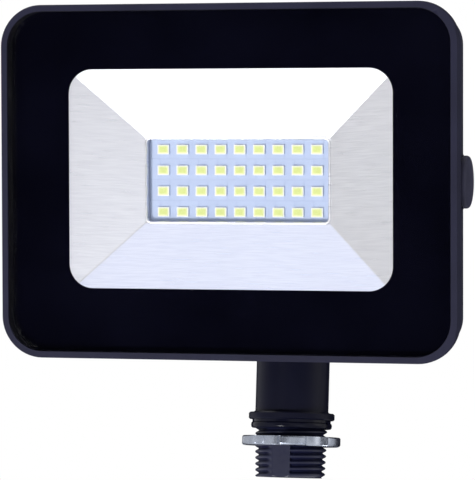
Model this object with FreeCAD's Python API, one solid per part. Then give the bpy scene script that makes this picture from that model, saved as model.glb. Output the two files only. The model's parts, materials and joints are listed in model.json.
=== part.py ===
import FreeCAD, Part
import math
import os

# Outdoor flood light on a half-inch threaded knuckle, in millimetres.
# Row frame: the origin is on the stem axis at the underside of the flange, +Z runs up the stem and the
# light faces -Y. The head is drawn upright in its own frame, with the origin at the centre of its front
# face, X to the right, Y to the back and Z up, and is then set on the pivot at its resting tilt.

# Fits
SCREW_PLAY = 0.06
RUNNING_PLAY = 0.08
GLASS_PLAY = 0.15
BODY_GAP = 0.3

# Housing
FRONT_WIDTH = 134.8
FRONT_HEIGHT = 101.9
CORNER_RADIUS = 12.0
RIM_LIP = 1.85
SIDE_EXTRA = 0.8
RIM_BAND = 1.6
RIM_STEP = 0.35
RIM_CHAMFER = 0.3
DRAFT_ANGLE = 7.3
LEDGE_WIDTH = 2.2
FLOOR_THICKNESS = 3.6
BACK_ROUND = 4.0

# Glass, its printed border and the seal behind it
GLASS_THICKNESS = 4.0
GLASS_RECESS = 0.3
INK_THICKNESS = 0.1
SEAL_THICKNESS = 0.6
BORDER_SIDE = 17.2
BORDER_TOP = 16.6
BORDER_BOTTOM = 18.1
WINDOW_RADIUS = 7.0

# Light engine
LED_COLUMNS = 9
LED_ROWS = 4
LED_PITCH_X = 5.74
LED_PITCH_Z = 6.06
LED_LENGTH = 3.5
LED_WIDTH = 2.8
LED_HEIGHT = 0.7
PHOSPHOR_LENGTH = 2.6
PHOSPHOR_WIDTH = 2.0
PHOSPHOR_PROUD = 0.05
BOARD_THICKNESS = 1.5
BOARD_INSET = 4.2
BOARD_RADIUS = 2.0
BOARD_HOLE_INSET = 4.6
THERMAL_PAD = 0.3
THERMAL_PAD_GAP = 1.0

# Parts of the driver, soldered to the board under the reflector
CHIP_LENGTH = 5.0
CHIP_WIDTH = 4.0
CHIP_HEIGHT = 1.6
BRIDGE_LENGTH = 6.5
BRIDGE_WIDTH = 5.0
BRIDGE_HEIGHT = 2.5
VARISTOR_RADIUS = 4.5
VARISTOR_HEIGHT = 3.6
FUSE_RADIUS = 1.6
FUSE_LENGTH = 8.0
TERMINAL_LENGTH = 10.0
TERMINAL_WIDTH = 6.0
TERMINAL_HEIGHT = 4.4
TERMINAL_PORT = 2.2
TERMINAL_PORT_DEPTH = 3.5

# Reflector, one folded sheet on two stepped ears at opposite corners
SHEET = 0.5
MOUTH_TUCK = 1.3
REFLECTOR_DEPTH = 9.0
OPENING_MARGIN_X = 2.24
OPENING_MARGIN_Z = 1.36
OPENING_RADIUS = 1.0
SKIRT_LENGTH = 3.0
SKIRT_GAP = 0.3
FLANGE_GAP = 8.6
FLANGE_RADIUS = 4.0
EAR_DROP = 4.0
EAR_WIDTH = 9.0
EAR_INSET = 8.0
EAR_WALL_GAP = 1.6
POST_RADIUS = 3.2

# Small screws of the board and the reflector
SCREW_RADIUS = 1.45
SCREW_BITE = 2.4
SCREW_HEAD_RADIUS = 2.75
SCREW_HEAD_HEIGHT = 1.9
HOLE_RUNOUT = 0.3

# Cooling fins on the back
FIN_HEIGHT = 7.5
FIN_PITCH = 8.0
FIN_ROOT = 2.2
FIN_TIP = 1.4
FIN_MARGIN = 2.5
FIN_END_SLOPE = 4.0
FIN_PAD_GAP = 3.0

# Photocell in the right-hand wall
PHOTOCELL_DEPTH = 10.5
SPOT_PROUD = 0.2
SPOT_MARGIN = 0.5
PHOTOCELL_SEAL = 0.5
LENS_RADIUS = 7.5
LENS_THICKNESS = 2.25
LENS_DOME = 0.6
LENS_WINDOW = 1.6
BARREL_RADIUS = 3.5
BARREL_WALL = 0.7
BARREL_TAIL = 1.0
CELL_PLAY = 0.2
CELL_LENGTH = 2.5
BOSS_PROUD = 0.8
BOSS_LEDGE_GAP = 0.4
CELL_NUT_FLATS = 10.0
CELL_NUT_THICKNESS = 2.5
LEAD_WIDTH = 3.0
LEAD_THICKNESS = 1.0
LEAD_RUN = 2.3

# Knuckle arm on the back of the head
PAD_RAISE = 2.0
PAD_MARGIN = 1.0
ARM_SEAL = 0.8
ARM_PLATE_WIDTH = 34.0
ARM_PLATE_HEIGHT = 20.0
ARM_PLATE_THICKNESS = 4.0
ARM_PLATE_RADIUS = 4.0
ARM_PLATE_RISE = 2.0
ARM_WIDTH = 12.0
ARM_HEIGHT = 15.0
ARM_ROUND = 2.5
ARM_ROOT_SPREAD = 4.0
ARM_ROOT_LENGTH = 6.0
ARM_BORE = 4.0
ARM_SCREW_RADIUS = 1.95
ARM_SCREW_BITE = 4.2
ARM_SCREW_HEAD_RADIUS = 3.5
ARM_SCREW_HEAD_HEIGHT = 2.6
ARM_SCREW_INSET = 4.6
GROMMET_RADIUS = 4.5
GROMMET_BORE = 2.6
GROMMET_LIP = 1.0

# Toothed joint
HEAD_TILT = 7.5
PIVOT_BACK = 53.6
PIVOT_DROP = 35.0
PIVOT_HEIGHT = 37.7
STEM_OFFSET = 7.6
DISC_RADIUS = 13.0
DISC_CHAMFER = 1.0
SHOULDER_GAP = 2.2
TOOTH_COUNT = 24
TOOTH_DEPTH = 0.9
TOOTH_FILL = 0.86
TOOTH_LAND = 1.0
WIREWAY_RADIUS = 6.5
WIREWAY_DEPTH = 5.0
BOLT_RADIUS = 3.0
BOLT_HEAD_FLATS = 10.0
BOLT_HEAD_HEIGHT = 4.0
BOLT_TAIL = 1.2
NUT_FLOOR = 3.0
PIVOT_NUT_FLATS = 10.0
PIVOT_NUT_THICKNESS = 5.0
WASHER_RADIUS = 6.4
WASHER_THICKNESS = 1.2

# Threaded stem, its seal and its lock nut
STEM_RADIUS = 10.75
STEM_LENGTH = 17.2
STEM_CHAMFER = 0.3
STEM_END_RADIUS = 10.55
STEM_END_LENGTH = 8.8
STEM_END_STEP = 0.3
STEM_FLAT_DEPTH = 0.55
STEM_BORE = 6.5
STEM_BORE_ABOVE = 14.0
FEED_RADIUS = 3.2
STEM_FLANGE_RADIUS = 12.85
STEM_FLANGE_THICKNESS = 2.1
STEM_FLANGE_CHAMFER = 0.35
NECK_RADIUS = 10.95
NECK_ROOT = 0.5
NECK_TIP_RADIUS = 4.0
NECK_TIP_HEIGHT = 21.0
STEM_SEAL_WIDTH = 1.3
STEM_SEAL_THICKNESS = 2.6
STEM_SEAL_CHAMFER = 0.5
LOCK_NUT_GAP = 2.4
LOCK_NUT_THICKNESS = 2.8
LOCK_NUT_ROOT_RADIUS = 13.0
LOCK_NUT_TIP_RADIUS = 15.25
LOCK_NUT_CHAMFER = 0.4
LUG_COUNT = 6
LUG_ANGLE = 29.0
LUG_FLANK_ANGLE = 5.0
LUG_PHASE = -75.5

# Depths through the head, from the front face back
SLOPE = math.tan(math.radians(DRAFT_ANGLE))
GLASS_BACK = GLASS_RECESS + GLASS_THICKNESS
INK_BACK = GLASS_BACK + INK_THICKNESS
LEDGE = INK_BACK + SEAL_THICKNESS
OPENING_DEPTH = LEDGE + REFLECTOR_DEPTH
SKIRT_END = OPENING_DEPTH + SKIRT_LENGTH
BOARD_FRONT = SKIRT_END + SKIRT_GAP
BOARD_BACK = BOARD_FRONT + BOARD_THICKNESS
FLOOR_FRONT = BOARD_BACK + THERMAL_PAD
FLOOR_BACK = FLOOR_FRONT + FLOOR_THICKNESS
PAD_BACK = FLOOR_BACK + PAD_RAISE
ARM_FRONT = PAD_BACK + ARM_SEAL
ARM_PLATE_BACK = ARM_FRONT + ARM_PLATE_THICKNESS

# Widths and heights across the head
SIDE_OFFSET = SIDE_EXTRA / 2
POCKET_WIDTH = FRONT_WIDTH - SIDE_EXTRA - 2 * RIM_LIP
POCKET_HEIGHT = FRONT_HEIGHT - 2 * RIM_LIP
POCKET_RADIUS = CORNER_RADIUS - RIM_LIP
GLASS_WIDTH = POCKET_WIDTH - 2 * GLASS_PLAY
GLASS_HEIGHT = POCKET_HEIGHT - 2 * GLASS_PLAY
GLASS_RADIUS = POCKET_RADIUS - GLASS_PLAY
CAVITY_WIDTH = POCKET_WIDTH - 2 * LEDGE_WIDTH
CAVITY_HEIGHT = POCKET_HEIGHT - 2 * LEDGE_WIDTH
CAVITY_RADIUS = POCKET_RADIUS - LEDGE_WIDTH
WINDOW_WIDTH = GLASS_WIDTH - 2 * BORDER_SIDE
WINDOW_HEIGHT = GLASS_HEIGHT - BORDER_TOP - BORDER_BOTTOM
WINDOW_RISE = (BORDER_BOTTOM - BORDER_TOP) / 2
MOUTH_WIDTH = WINDOW_WIDTH + 2 * MOUTH_TUCK
MOUTH_HEIGHT = WINDOW_HEIGHT + 2 * MOUTH_TUCK
FLANGE_WIDTH = CAVITY_WIDTH - 2 * FLANGE_GAP
FLANGE_HEIGHT = CAVITY_HEIGHT - 2 * FLANGE_GAP
BOARD_WIDTH = FLANGE_WIDTH - 2 * BOARD_INSET
BOARD_HEIGHT = FLANGE_HEIGHT - 2 * BOARD_INSET
LED_SPAN_X = (LED_COLUMNS - 1) * LED_PITCH_X
LED_SPAN_Z = (LED_ROWS - 1) * LED_PITCH_Z
OPENING_WIDTH = LED_SPAN_X + LED_LENGTH + 2 * OPENING_MARGIN_X
OPENING_HEIGHT = LED_SPAN_Z + LED_WIDTH + 2 * OPENING_MARGIN_Z
EAR_LENGTH = FLANGE_GAP - EAR_WALL_GAP
EAR_SEAT = LEDGE + EAR_DROP + SHEET
EAR_X = FLANGE_WIDTH / 2 + EAR_LENGTH / 2
EAR_Z = FLANGE_HEIGHT / 2 - EAR_INSET
ARM_PLATE_Z = ARM_PLATE_RISE - PIVOT_DROP

# Places along the pivot axis in the row frame
ARM_RIGHT = ARM_WIDTH / 2 - STEM_OFFSET
ARM_LEFT = -ARM_WIDTH / 2 - STEM_OFFSET
BASE_LEFT = ARM_RIGHT + BODY_GAP
NUT_SINK = ARM_WIDTH - WIREWAY_DEPTH - NUT_FLOOR
SHOULDER = PIVOT_HEIGHT - DISC_RADIUS - SHOULDER_GAP
SCREW_HOLE = SCREW_RADIUS + SCREW_PLAY
ARM_SCREW_HOLE = ARM_SCREW_RADIUS + SCREW_PLAY

X_AXIS = FreeCAD.Vector(1, 0, 0)
Y_AXIS = FreeCAD.Vector(0, 1, 0)
Z_AXIS = FreeCAD.Vector(0, 0, 1)
ORIGIN = FreeCAD.Vector(0, 0, 0)
THROUGH = 2.0


def vector(x, y, z):
    return FreeCAD.Vector(x, y, z)


def wall_x(depth):
    """Place of the drafted outer wall on the photocell's side, which is the thicker one, at a depth."""
    return FRONT_WIDTH / 2 + SIDE_OFFSET - RIM_STEP - (depth - RIM_BAND) * SLOPE


def cavity_x(depth):
    """Half width of the drafted cavity at a depth behind the front face."""
    return CAVITY_WIDTH / 2 - (depth - LEDGE) * SLOPE


def rounded_rectangle(width, height, radius, depth, rise=0.0):
    """Rounded rectangle across the head at one depth."""
    right = width / 2
    top = height / 2
    inner_x = right - radius
    inner_z = top - radius
    bulge = radius * math.sqrt(0.5)
    edges = []
    for side_x, side_z in ((1, 1), (-1, 1), (-1, -1), (1, -1)):
        centre = vector(side_x * inner_x, depth, side_z * inner_z + rise)
        on_side = centre + vector(side_x * radius, 0, 0)
        on_end = centre + vector(0, 0, side_z * radius)
        middle = centre + vector(side_x * bulge, 0, side_z * bulge)
        first, last = (on_side, on_end) if side_x * side_z > 0 else (on_end, on_side)
        edges.append(Part.Arc(first, middle, last).toShape())
    corners = edges[:]
    for index, corner in enumerate(corners):
        following = corners[(index + 1) % 4]
        start = corner.Vertexes[-1].Point
        end = following.Vertexes[0].Point
        edges.append(Part.makeLine(start, end))
    return Part.Wire(Part.__sortEdges__(edges))


def rectangle(width, height, depth):
    """Sharp rectangle across the head at one depth."""
    right = width / 2
    top = height / 2
    corners = [vector(x * right, depth, z * top) for x, z in ((1, 1), (-1, 1), (-1, -1), (1, -1))]
    return Part.makePolygon(corners + corners[:1])


def plate(width, height, radius, front, back, rise=0.0):
    """Flat rounded slab between two depths."""
    face = Part.Face(rounded_rectangle(width, height, radius, front, rise))
    return face.extrude(vector(0, back - front, 0))


def tapered_plate(width, height, radius, front, back):
    """Rounded slab whose sides draw in with the casting draft."""
    shrink = (back - front) * SLOPE
    near = rounded_rectangle(width, height, radius, front)
    far = rounded_rectangle(width - 2 * shrink, height - 2 * shrink, radius - shrink, back)
    return Part.makeLoft([near, far], True, True)


def rod_y(radius, x, z, front, back):
    return Part.makeCylinder(radius, back - front, vector(x, front, z), Y_AXIS)


def rod_x(radius, y, z, left, right):
    return Part.makeCylinder(radius, right - left, vector(left, y, z), X_AXIS)


def rod_z(radius, x, y, bottom, top):
    return Part.makeCylinder(radius, top - bottom, vector(x, y, bottom), Z_AXIS)


def block(x0, x1, y0, y1, z0, z1):
    return Part.makeBox(x1 - x0, y1 - y0, z1 - z0, vector(x0, y0, z0))


def hexagon_x(flats, y, z, left, right):
    """Hexagonal bar along X, with its corners up and down."""
    corner = flats / math.sqrt(3)
    points = []
    for index in range(7):
        angle = math.radians(60 * index)
        points.append(vector(left, y + corner * math.sin(angle), z + corner * math.cos(angle)))
    return Part.Face(Part.makePolygon(points)).extrude(vector(right - left, 0, 0))


def screw(head_radius, head_height, shank_radius, shank_length):
    """Cylinder-head screw with its seat at the origin and its shank along +Y."""
    head = rod_y(head_radius, 0, 0, -head_height, 0)
    return head.fuse(rod_y(shank_radius, 0, 0, 0, shank_length))


def edges_at_depth(shape, depth):
    """Edges that lie wholly in one plane across the head."""
    found = []
    for edge in shape.Edges:
        box = edge.BoundBox
        if abs(box.YMin - depth) < 1e-6 and abs(box.YMax - depth) < 1e-6:
            found.append(edge)
    return found


def housing_shell():
    """Drafted casting with a square rim, a glass pocket and a cavity."""
    rim = plate(FRONT_WIDTH, FRONT_HEIGHT, CORNER_RADIUS, 0, RIM_BAND)
    rim = rim.makeChamfer(RIM_CHAMFER, edges_at_depth(rim, 0))
    width = FRONT_WIDTH - 2 * RIM_STEP
    height = FRONT_HEIGHT - 2 * RIM_STEP
    wall = tapered_plate(width, height, CORNER_RADIUS - RIM_STEP, RIM_BAND, FLOOR_BACK)
    wall = wall.makeFillet(BACK_ROUND, edges_at_depth(wall, FLOOR_BACK))
    pocket = plate(POCKET_WIDTH, POCKET_HEIGHT, POCKET_RADIUS, -THROUGH, LEDGE)
    cavity = tapered_plate(CAVITY_WIDTH, CAVITY_HEIGHT, CAVITY_RADIUS, LEDGE, FLOOR_FRONT)
    outside = rim.fuse(wall).translated(vector(SIDE_OFFSET, 0, 0))
    return outside.cut([pocket, cavity])


def fin(x, bottom, top):
    """One cooling fin, thinner at its tip and sloped at both ends."""
    sections = []
    for depth, thickness, inset in (
        (FLOOR_BACK - THROUGH, FIN_ROOT, 0),
        (FLOOR_BACK, FIN_ROOT, 0),
        (FLOOR_BACK + FIN_HEIGHT, FIN_TIP, FIN_END_SLOPE),
    ):
        half = thickness / 2
        low = bottom + inset
        high = top - inset
        points = [vector(x - half, depth, low), vector(x + half, depth, low)]
        points += [vector(x + half, depth, high), vector(x - half, depth, high)]
        sections.append(Part.makePolygon(points + points[:1]))
    return Part.makeLoft(sections, True, True)


def fins():
    """Row of upright fins, the middle ones ending above the arm pad."""
    flat_x = wall_x(FLOOR_BACK) - SIDE_EXTRA - BACK_ROUND - FIN_MARGIN
    flat_z = flat_x + SIDE_OFFSET + (FRONT_HEIGHT - FRONT_WIDTH) / 2
    count = 2 * int((flat_x + FIN_PITCH / 2) / FIN_PITCH)
    pad_top = ARM_PLATE_Z + ARM_PLATE_HEIGHT / 2 + PAD_MARGIN
    pad_side = ARM_PLATE_WIDTH / 2 + PAD_MARGIN + FIN_PAD_GAP
    row = []
    for index in range(count):
        x = (index - (count - 1) / 2) * FIN_PITCH
        bottom = pad_top + FIN_PAD_GAP if abs(x) < pad_side else -flat_z
        row.append(fin(x, bottom, flat_z))
    return row


def housing():
    """Die-cast body with its fins, arm pad, reflector posts and photocell seat."""
    shell = housing_shell()
    posts = [rod_y(POST_RADIUS, x, z, EAR_SEAT, FLOOR_FRONT + THROUGH) for x, z in ear_places()]
    pad_width = ARM_PLATE_WIDTH + 2 * PAD_MARGIN
    pad_height = ARM_PLATE_HEIGHT + 2 * PAD_MARGIN
    pad_radius = ARM_PLATE_RADIUS + PAD_MARGIN
    pad = plate(pad_width, pad_height, pad_radius, FLOOR_BACK - THROUGH, PAD_BACK, ARM_PLATE_Z)
    spot = photocell_spot()
    spot_radius = LENS_RADIUS + SPOT_MARGIN
    inner = photocell_boss()
    outer_boss = rod_x(spot_radius, PHOTOCELL_DEPTH, 0, wall_x(PHOTOCELL_DEPTH) - THROUGH, spot)
    in_wall = cavity_x(PHOTOCELL_DEPTH) + THROUGH / 2
    boss_radius = PHOTOCELL_DEPTH - LEDGE - BOSS_LEDGE_GAP
    inner_boss = rod_x(boss_radius, PHOTOCELL_DEPTH, 0, inner, in_wall)
    below_ledge = block(inner, spot, LEDGE, FLOOR_FRONT, -spot_radius, spot_radius)
    outer_side = block(POCKET_WIDTH / 2 + GLASS_PLAY, spot, 0, FLOOR_FRONT, -spot_radius, spot_radius)
    outer_boss = outer_boss.common(outer_side.fuse(below_ledge))
    body = shell.fuse(posts + [pad, outer_boss, inner_boss] + fins())
    holes = [rod_x(spot_radius, PHOTOCELL_DEPTH, 0, spot, spot + LENS_RADIUS)]
    holes.append(rod_x(BARREL_RADIUS + SCREW_PLAY, PHOTOCELL_DEPTH, 0, inner - THROUGH, spot + THROUGH))
    entry = GROMMET_RADIUS + SCREW_PLAY
    holes.append(rod_y(entry, 0, -PIVOT_DROP, FLOOR_FRONT - THROUGH, PAD_BACK + THROUGH))
    for x, z in ear_places():
        holes.append(rod_y(SCREW_HOLE, x, z, EAR_SEAT - THROUGH, EAR_SEAT + SCREW_BITE + HOLE_RUNOUT))
    for x, z in board_holes():
        holes.append(rod_y(SCREW_HOLE, x, z, FLOOR_FRONT - THROUGH, FLOOR_FRONT + SCREW_BITE + HOLE_RUNOUT))
    for x, z in arm_holes():
        deepest = PAD_BACK - ARM_SCREW_BITE - HOLE_RUNOUT
        holes.append(rod_y(ARM_SCREW_HOLE, x, z, deepest, PAD_BACK + THROUGH))
    return body.cut(holes).removeSplitter()


def ear_places():
    """Upper left and lower right corners of the reflector."""
    return [(-EAR_X, EAR_Z), (EAR_X, -EAR_Z)]


def board_holes():
    """Lower left and upper right corners of the board."""
    x = BOARD_WIDTH / 2 - BOARD_HOLE_INSET
    z = BOARD_HEIGHT / 2 - BOARD_HOLE_INSET
    return [(-x, -z), (x, z)]


def arm_holes():
    """One screw on each side of the arm."""
    x = ARM_PLATE_WIDTH / 2 - ARM_SCREW_INSET
    return [(-x, ARM_PLATE_Z), (x, ARM_PLATE_Z)]


def glass_pane():
    pane = plate(GLASS_WIDTH, GLASS_HEIGHT, GLASS_RADIUS, GLASS_RECESS, GLASS_BACK)
    return pane.makeChamfer(GLASS_RECESS, edges_at_depth(pane, GLASS_RECESS))


def glass_border():
    """Printed border, a thin layer on the back of the glass."""
    sheet = plate(GLASS_WIDTH, GLASS_HEIGHT, GLASS_RADIUS, GLASS_BACK, INK_BACK)
    window = plate(WINDOW_WIDTH, WINDOW_HEIGHT, WINDOW_RADIUS, 0, LEDGE, WINDOW_RISE)
    return sheet.cut(window)


def glass_seal():
    ring = plate(GLASS_WIDTH, GLASS_HEIGHT, GLASS_RADIUS, INK_BACK, LEDGE)
    return ring.cut(plate(CAVITY_WIDTH, CAVITY_HEIGHT, CAVITY_RADIUS, 0, LEDGE + THROUGH))


def reflector():
    """Folded sheet: a flange, four sloped sides, a skirt round the LEDs and two stepped ears."""
    slope_x = (MOUTH_WIDTH - OPENING_WIDTH) / 2
    spread = SHEET * math.hypot(slope_x, REFLECTOR_DEPTH) / REFLECTOR_DEPTH
    mouth = rectangle(MOUTH_WIDTH, MOUTH_HEIGHT, LEDGE)
    opening = rectangle(OPENING_WIDTH, OPENING_HEIGHT, OPENING_DEPTH)
    outer_mouth = rectangle(MOUTH_WIDTH + 2 * spread, MOUTH_HEIGHT + 2 * spread, LEDGE)
    outer_opening = rectangle(OPENING_WIDTH + 2 * spread, OPENING_HEIGHT + 2 * spread, OPENING_DEPTH)
    funnel = Part.makeLoft([outer_mouth, outer_opening], True, True)
    skirt_width = OPENING_WIDTH + 2 * SHEET
    skirt_height = OPENING_HEIGHT + 2 * SHEET
    skirt_radius = OPENING_RADIUS + SHEET
    skirt = plate(skirt_width, skirt_height, skirt_radius, OPENING_DEPTH - SHEET, SKIRT_END)
    flange = plate(FLANGE_WIDTH, FLANGE_HEIGHT, FLANGE_RADIUS, LEDGE, LEDGE + SHEET)
    pieces = [skirt, flange]
    holes = [Part.makeLoft([mouth, opening], True, True)]
    well_end = SKIRT_END + THROUGH
    holes.append(plate(OPENING_WIDTH, OPENING_HEIGHT, OPENING_RADIUS, OPENING_DEPTH - SHEET, well_end))
    for x, z in ear_places():
        side = math.copysign(1, x)
        edge = side * FLANGE_WIDTH / 2
        tip = edge + side * EAR_LENGTH
        step_inner = edge - side * SHEET
        low = z - EAR_WIDTH / 2
        high = z + EAR_WIDTH / 2
        for first, last, front in ((edge, step_inner, LEDGE), (step_inner, tip, EAR_SEAT - SHEET)):
            pieces.append(block(min(first, last), max(first, last), front, EAR_SEAT, low, high))
        holes.append(rod_y(SCREW_HOLE, x, z, EAR_SEAT - THROUGH, EAR_SEAT + THROUGH))
    return funnel.fuse(pieces).cut(holes).removeSplitter()


def reflector_screws():
    screws = []
    for x, z in ear_places():
        piece = screw(SCREW_HEAD_RADIUS, SCREW_HEAD_HEIGHT, SCREW_RADIUS, SHEET + SCREW_BITE)
        screws.append(piece.translated(vector(x, EAR_SEAT - SHEET, z)))
    return Part.makeCompound(screws)


def notch_radius():
    return GROMMET_RADIUS + GROMMET_LIP + BODY_GAP


def wire_notch():
    """Slot in the lower edge of the board, round the wire entry."""
    half = notch_radius()
    front = BOARD_FRONT - THROUGH
    back = BOARD_BACK + THROUGH
    slot = block(-half, half, front, back, -FRONT_HEIGHT / 2, -PIVOT_DROP)
    return slot.fuse(rod_y(half, 0, -PIVOT_DROP, front, back))


def led_board():
    board = plate(BOARD_WIDTH, BOARD_HEIGHT, BOARD_RADIUS, BOARD_FRONT, BOARD_BACK)
    holes = [rod_y(SCREW_HOLE, x, z, BOARD_FRONT - THROUGH, BOARD_BACK + THROUGH) for x, z in board_holes()]
    return board.cut(holes + [wire_notch()])


def thermal_pad():
    """Soft pad behind the LEDs, inside the screws and clear of the wire notch."""
    width = BOARD_WIDTH - 4 * BOARD_HOLE_INSET
    height = 2 * (PIVOT_DROP - notch_radius() - THERMAL_PAD_GAP)
    return plate(width, height, BOARD_RADIUS, BOARD_BACK, FLOOR_FRONT)


def board_screws():
    screws = []
    for x, z in board_holes():
        length = BOARD_THICKNESS + THERMAL_PAD + SCREW_BITE
        piece = screw(SCREW_HEAD_RADIUS, SCREW_HEAD_HEIGHT, SCREW_RADIUS, length)
        screws.append(piece.translated(vector(x, BOARD_FRONT, z)))
    return Part.makeCompound(screws)


def led_places():
    for row in range(LED_ROWS):
        for column in range(LED_COLUMNS):
            yield column * LED_PITCH_X - LED_SPAN_X / 2, row * LED_PITCH_Z - LED_SPAN_Z / 2


def on_board(length, width, height, x, z):
    """Rectangular part that stands on the front of the board."""
    half_x = length / 2
    half_z = width / 2
    return block(x - half_x, x + half_x, BOARD_FRONT - height, BOARD_FRONT, z - half_z, z + half_z)


def led_packages():
    return Part.makeCompound([on_board(LED_LENGTH, LED_WIDTH, LED_HEIGHT, x, z) for x, z in led_places()])


def led_phosphors():
    """Thin cured phosphor window on the face of each package."""
    face = BOARD_FRONT - LED_HEIGHT
    half_x = PHOSPHOR_LENGTH / 2
    half_z = PHOSPHOR_WIDTH / 2
    fills = []
    for x, z in led_places():
        fills.append(block(x - half_x, x + half_x, face - PHOSPHOR_PROUD, face, z - half_z, z + half_z))
    return Part.makeCompound(fills)


def side_lane():
    """Middle of the strip of board between the reflector skirt and the board's end."""
    return (OPENING_WIDTH / 2 + SHEET + BOARD_WIDTH / 2) / 2


def lower_lane():
    """Middle of the strip of board between the reflector skirt and the wire notch."""
    notch_top = notch_radius() - PIVOT_DROP
    return (-OPENING_HEIGHT / 2 - SHEET + notch_top) / 2


def driver_chips():
    rows = (-LED_PITCH_Z, LED_PITCH_Z)
    return Part.makeCompound([on_board(CHIP_LENGTH, CHIP_WIDTH, CHIP_HEIGHT, side_lane(), z) for z in rows])


def rectifier_bridge():
    return on_board(BRIDGE_LENGTH, BRIDGE_WIDTH, BRIDGE_HEIGHT, -side_lane(), LED_PITCH_Z)


def fuse():
    left = -side_lane() - FUSE_LENGTH / 2
    return rod_x(FUSE_RADIUS, BOARD_FRONT - FUSE_RADIUS, -LED_PITCH_Z, left, left + FUSE_LENGTH)


def varistor():
    return rod_y(VARISTOR_RADIUS, -side_lane() / 2, lower_lane(), BOARD_FRONT - VARISTOR_HEIGHT, BOARD_FRONT)


def input_terminal():
    """Two-way push-in terminal with its ports towards the wire entry."""
    body = on_board(TERMINAL_LENGTH, TERMINAL_WIDTH, TERMINAL_HEIGHT, 0, lower_lane())
    mouth = lower_lane() - TERMINAL_WIDTH / 2
    middle = BOARD_FRONT - TERMINAL_HEIGHT / 2
    half = TERMINAL_PORT / 2
    low = mouth - THROUGH
    high = mouth + TERMINAL_PORT_DEPTH
    ports = []
    for side in (-1, 1):
        x = side * TERMINAL_LENGTH / 4
        ports.append(block(x - half, x + half, middle - half, middle + half, low, high))
    return body.cut(ports)


def photocell_spot():
    return wall_x(PHOTOCELL_DEPTH) + SPOT_PROUD


def photocell_boss():
    return cavity_x(PHOTOCELL_DEPTH) - BOSS_PROUD


def photocell_barrel_end():
    return photocell_boss() - CELL_NUT_THICKNESS - BARREL_TAIL


def photocell_seal():
    left = photocell_spot()
    ring = rod_x(LENS_RADIUS - PHOTOCELL_SEAL, PHOTOCELL_DEPTH, 0, left, left + PHOTOCELL_SEAL)
    return ring.cut(rod_x(BARREL_RADIUS + SCREW_PLAY, PHOTOCELL_DEPTH, 0, left - THROUGH, left + THROUGH))


def photocell_lens():
    """Low domed cap with a hollow barrel, turned about the cell's axis."""
    seat = photocell_spot() + PHOTOCELL_SEAL
    face = seat + LENS_THICKNESS
    end = photocell_barrel_end()
    bore = BARREL_RADIUS - BARREL_WALL
    window = face - LENS_WINDOW
    rim = face - LENS_DOME
    ball = (LENS_RADIUS ** 2 + LENS_DOME ** 2) / (2 * LENS_DOME)
    halfway = face - ball + math.sqrt(ball ** 2 - LENS_RADIUS ** 2 / 4)
    points = [
        vector(face, 0, 0),
        vector(window, 0, 0),
        vector(window, bore, 0),
        vector(end, bore, 0),
        vector(end, BARREL_RADIUS, 0),
        vector(seat, BARREL_RADIUS, 0),
        vector(seat, LENS_RADIUS, 0),
        vector(rim, LENS_RADIUS, 0),
    ]
    edges = [Part.makeLine(first, last) for first, last in zip(points, points[1:])]
    edges.append(Part.Arc(points[-1], vector(halfway, LENS_RADIUS / 2, 0), points[0]).toShape())
    cap = Part.Face(Part.Wire(edges)).revolve(ORIGIN, X_AXIS, 360)
    return cap.translated(vector(0, PHOTOCELL_DEPTH, 0))


def photocell_front():
    return photocell_spot() + PHOTOCELL_SEAL + LENS_THICKNESS - LENS_WINDOW


def photocell_sensor():
    front = photocell_front()
    radius = BARREL_RADIUS - BARREL_WALL - CELL_PLAY
    return rod_x(radius, PHOTOCELL_DEPTH, 0, front - CELL_LENGTH, front)


def photocell_nut():
    right = photocell_boss()
    left = right - CELL_NUT_THICKNESS
    nut = hexagon_x(CELL_NUT_FLATS, PHOTOCELL_DEPTH, 0, left, right)
    return nut.cut(rod_x(BARREL_RADIUS + SCREW_PLAY, PHOTOCELL_DEPTH, 0, left - THROUGH, right + THROUGH))


def photocell_leads():
    """Flat twin lead, straight out of the barrel and down to the board in one bend."""
    start_x = photocell_front() - CELL_LENGTH
    bend = BOARD_FRONT - PHOTOCELL_DEPTH
    bend_x = photocell_barrel_end() - LEAD_RUN
    low = -LEAD_WIDTH / 2
    near = PHOTOCELL_DEPTH - LEAD_THICKNESS / 2
    far = PHOTOCELL_DEPTH + LEAD_THICKNESS / 2
    straight = block(bend_x, start_x, near, far, low, -low)
    outer = rod_z(bend + LEAD_THICKNESS / 2, bend_x, BOARD_FRONT, low, -low)
    inner = rod_z(bend - LEAD_THICKNESS / 2, bend_x, BOARD_FRONT, low - THROUGH, THROUGH - low)
    quarter = block(bend_x - 2 * bend, bend_x, BOARD_FRONT - 2 * bend, BOARD_FRONT, low, -low)
    return straight.fuse(outer.cut(inner).common(quarter)).removeSplitter()


def wire_grommet():
    """Rubber bush in the wire entry, with a lip inside the housing."""
    sleeve = rod_y(GROMMET_RADIUS, 0, -PIVOT_DROP, FLOOR_FRONT, PAD_BACK)
    lip = rod_y(GROMMET_RADIUS + GROMMET_LIP, 0, -PIVOT_DROP, FLOOR_FRONT - GROMMET_LIP, FLOOR_FRONT)
    bore = rod_y(GROMMET_BORE, 0, -PIVOT_DROP, FLOOR_FRONT - THROUGH, PAD_BACK + THROUGH)
    return sleeve.fuse(lip).cut(bore).removeSplitter()


def arm_seal():
    sheet = plate(ARM_PLATE_WIDTH, ARM_PLATE_HEIGHT, ARM_PLATE_RADIUS, PAD_BACK, ARM_FRONT, ARM_PLATE_Z)
    front = PAD_BACK - THROUGH
    back = ARM_FRONT + THROUGH
    holes = [rod_y(ARM_SCREW_HOLE, x, z, front, back) for x, z in arm_holes()]
    return sheet.cut(holes + [rod_y(ARM_BORE, 0, -PIVOT_DROP, front, back)])


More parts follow.
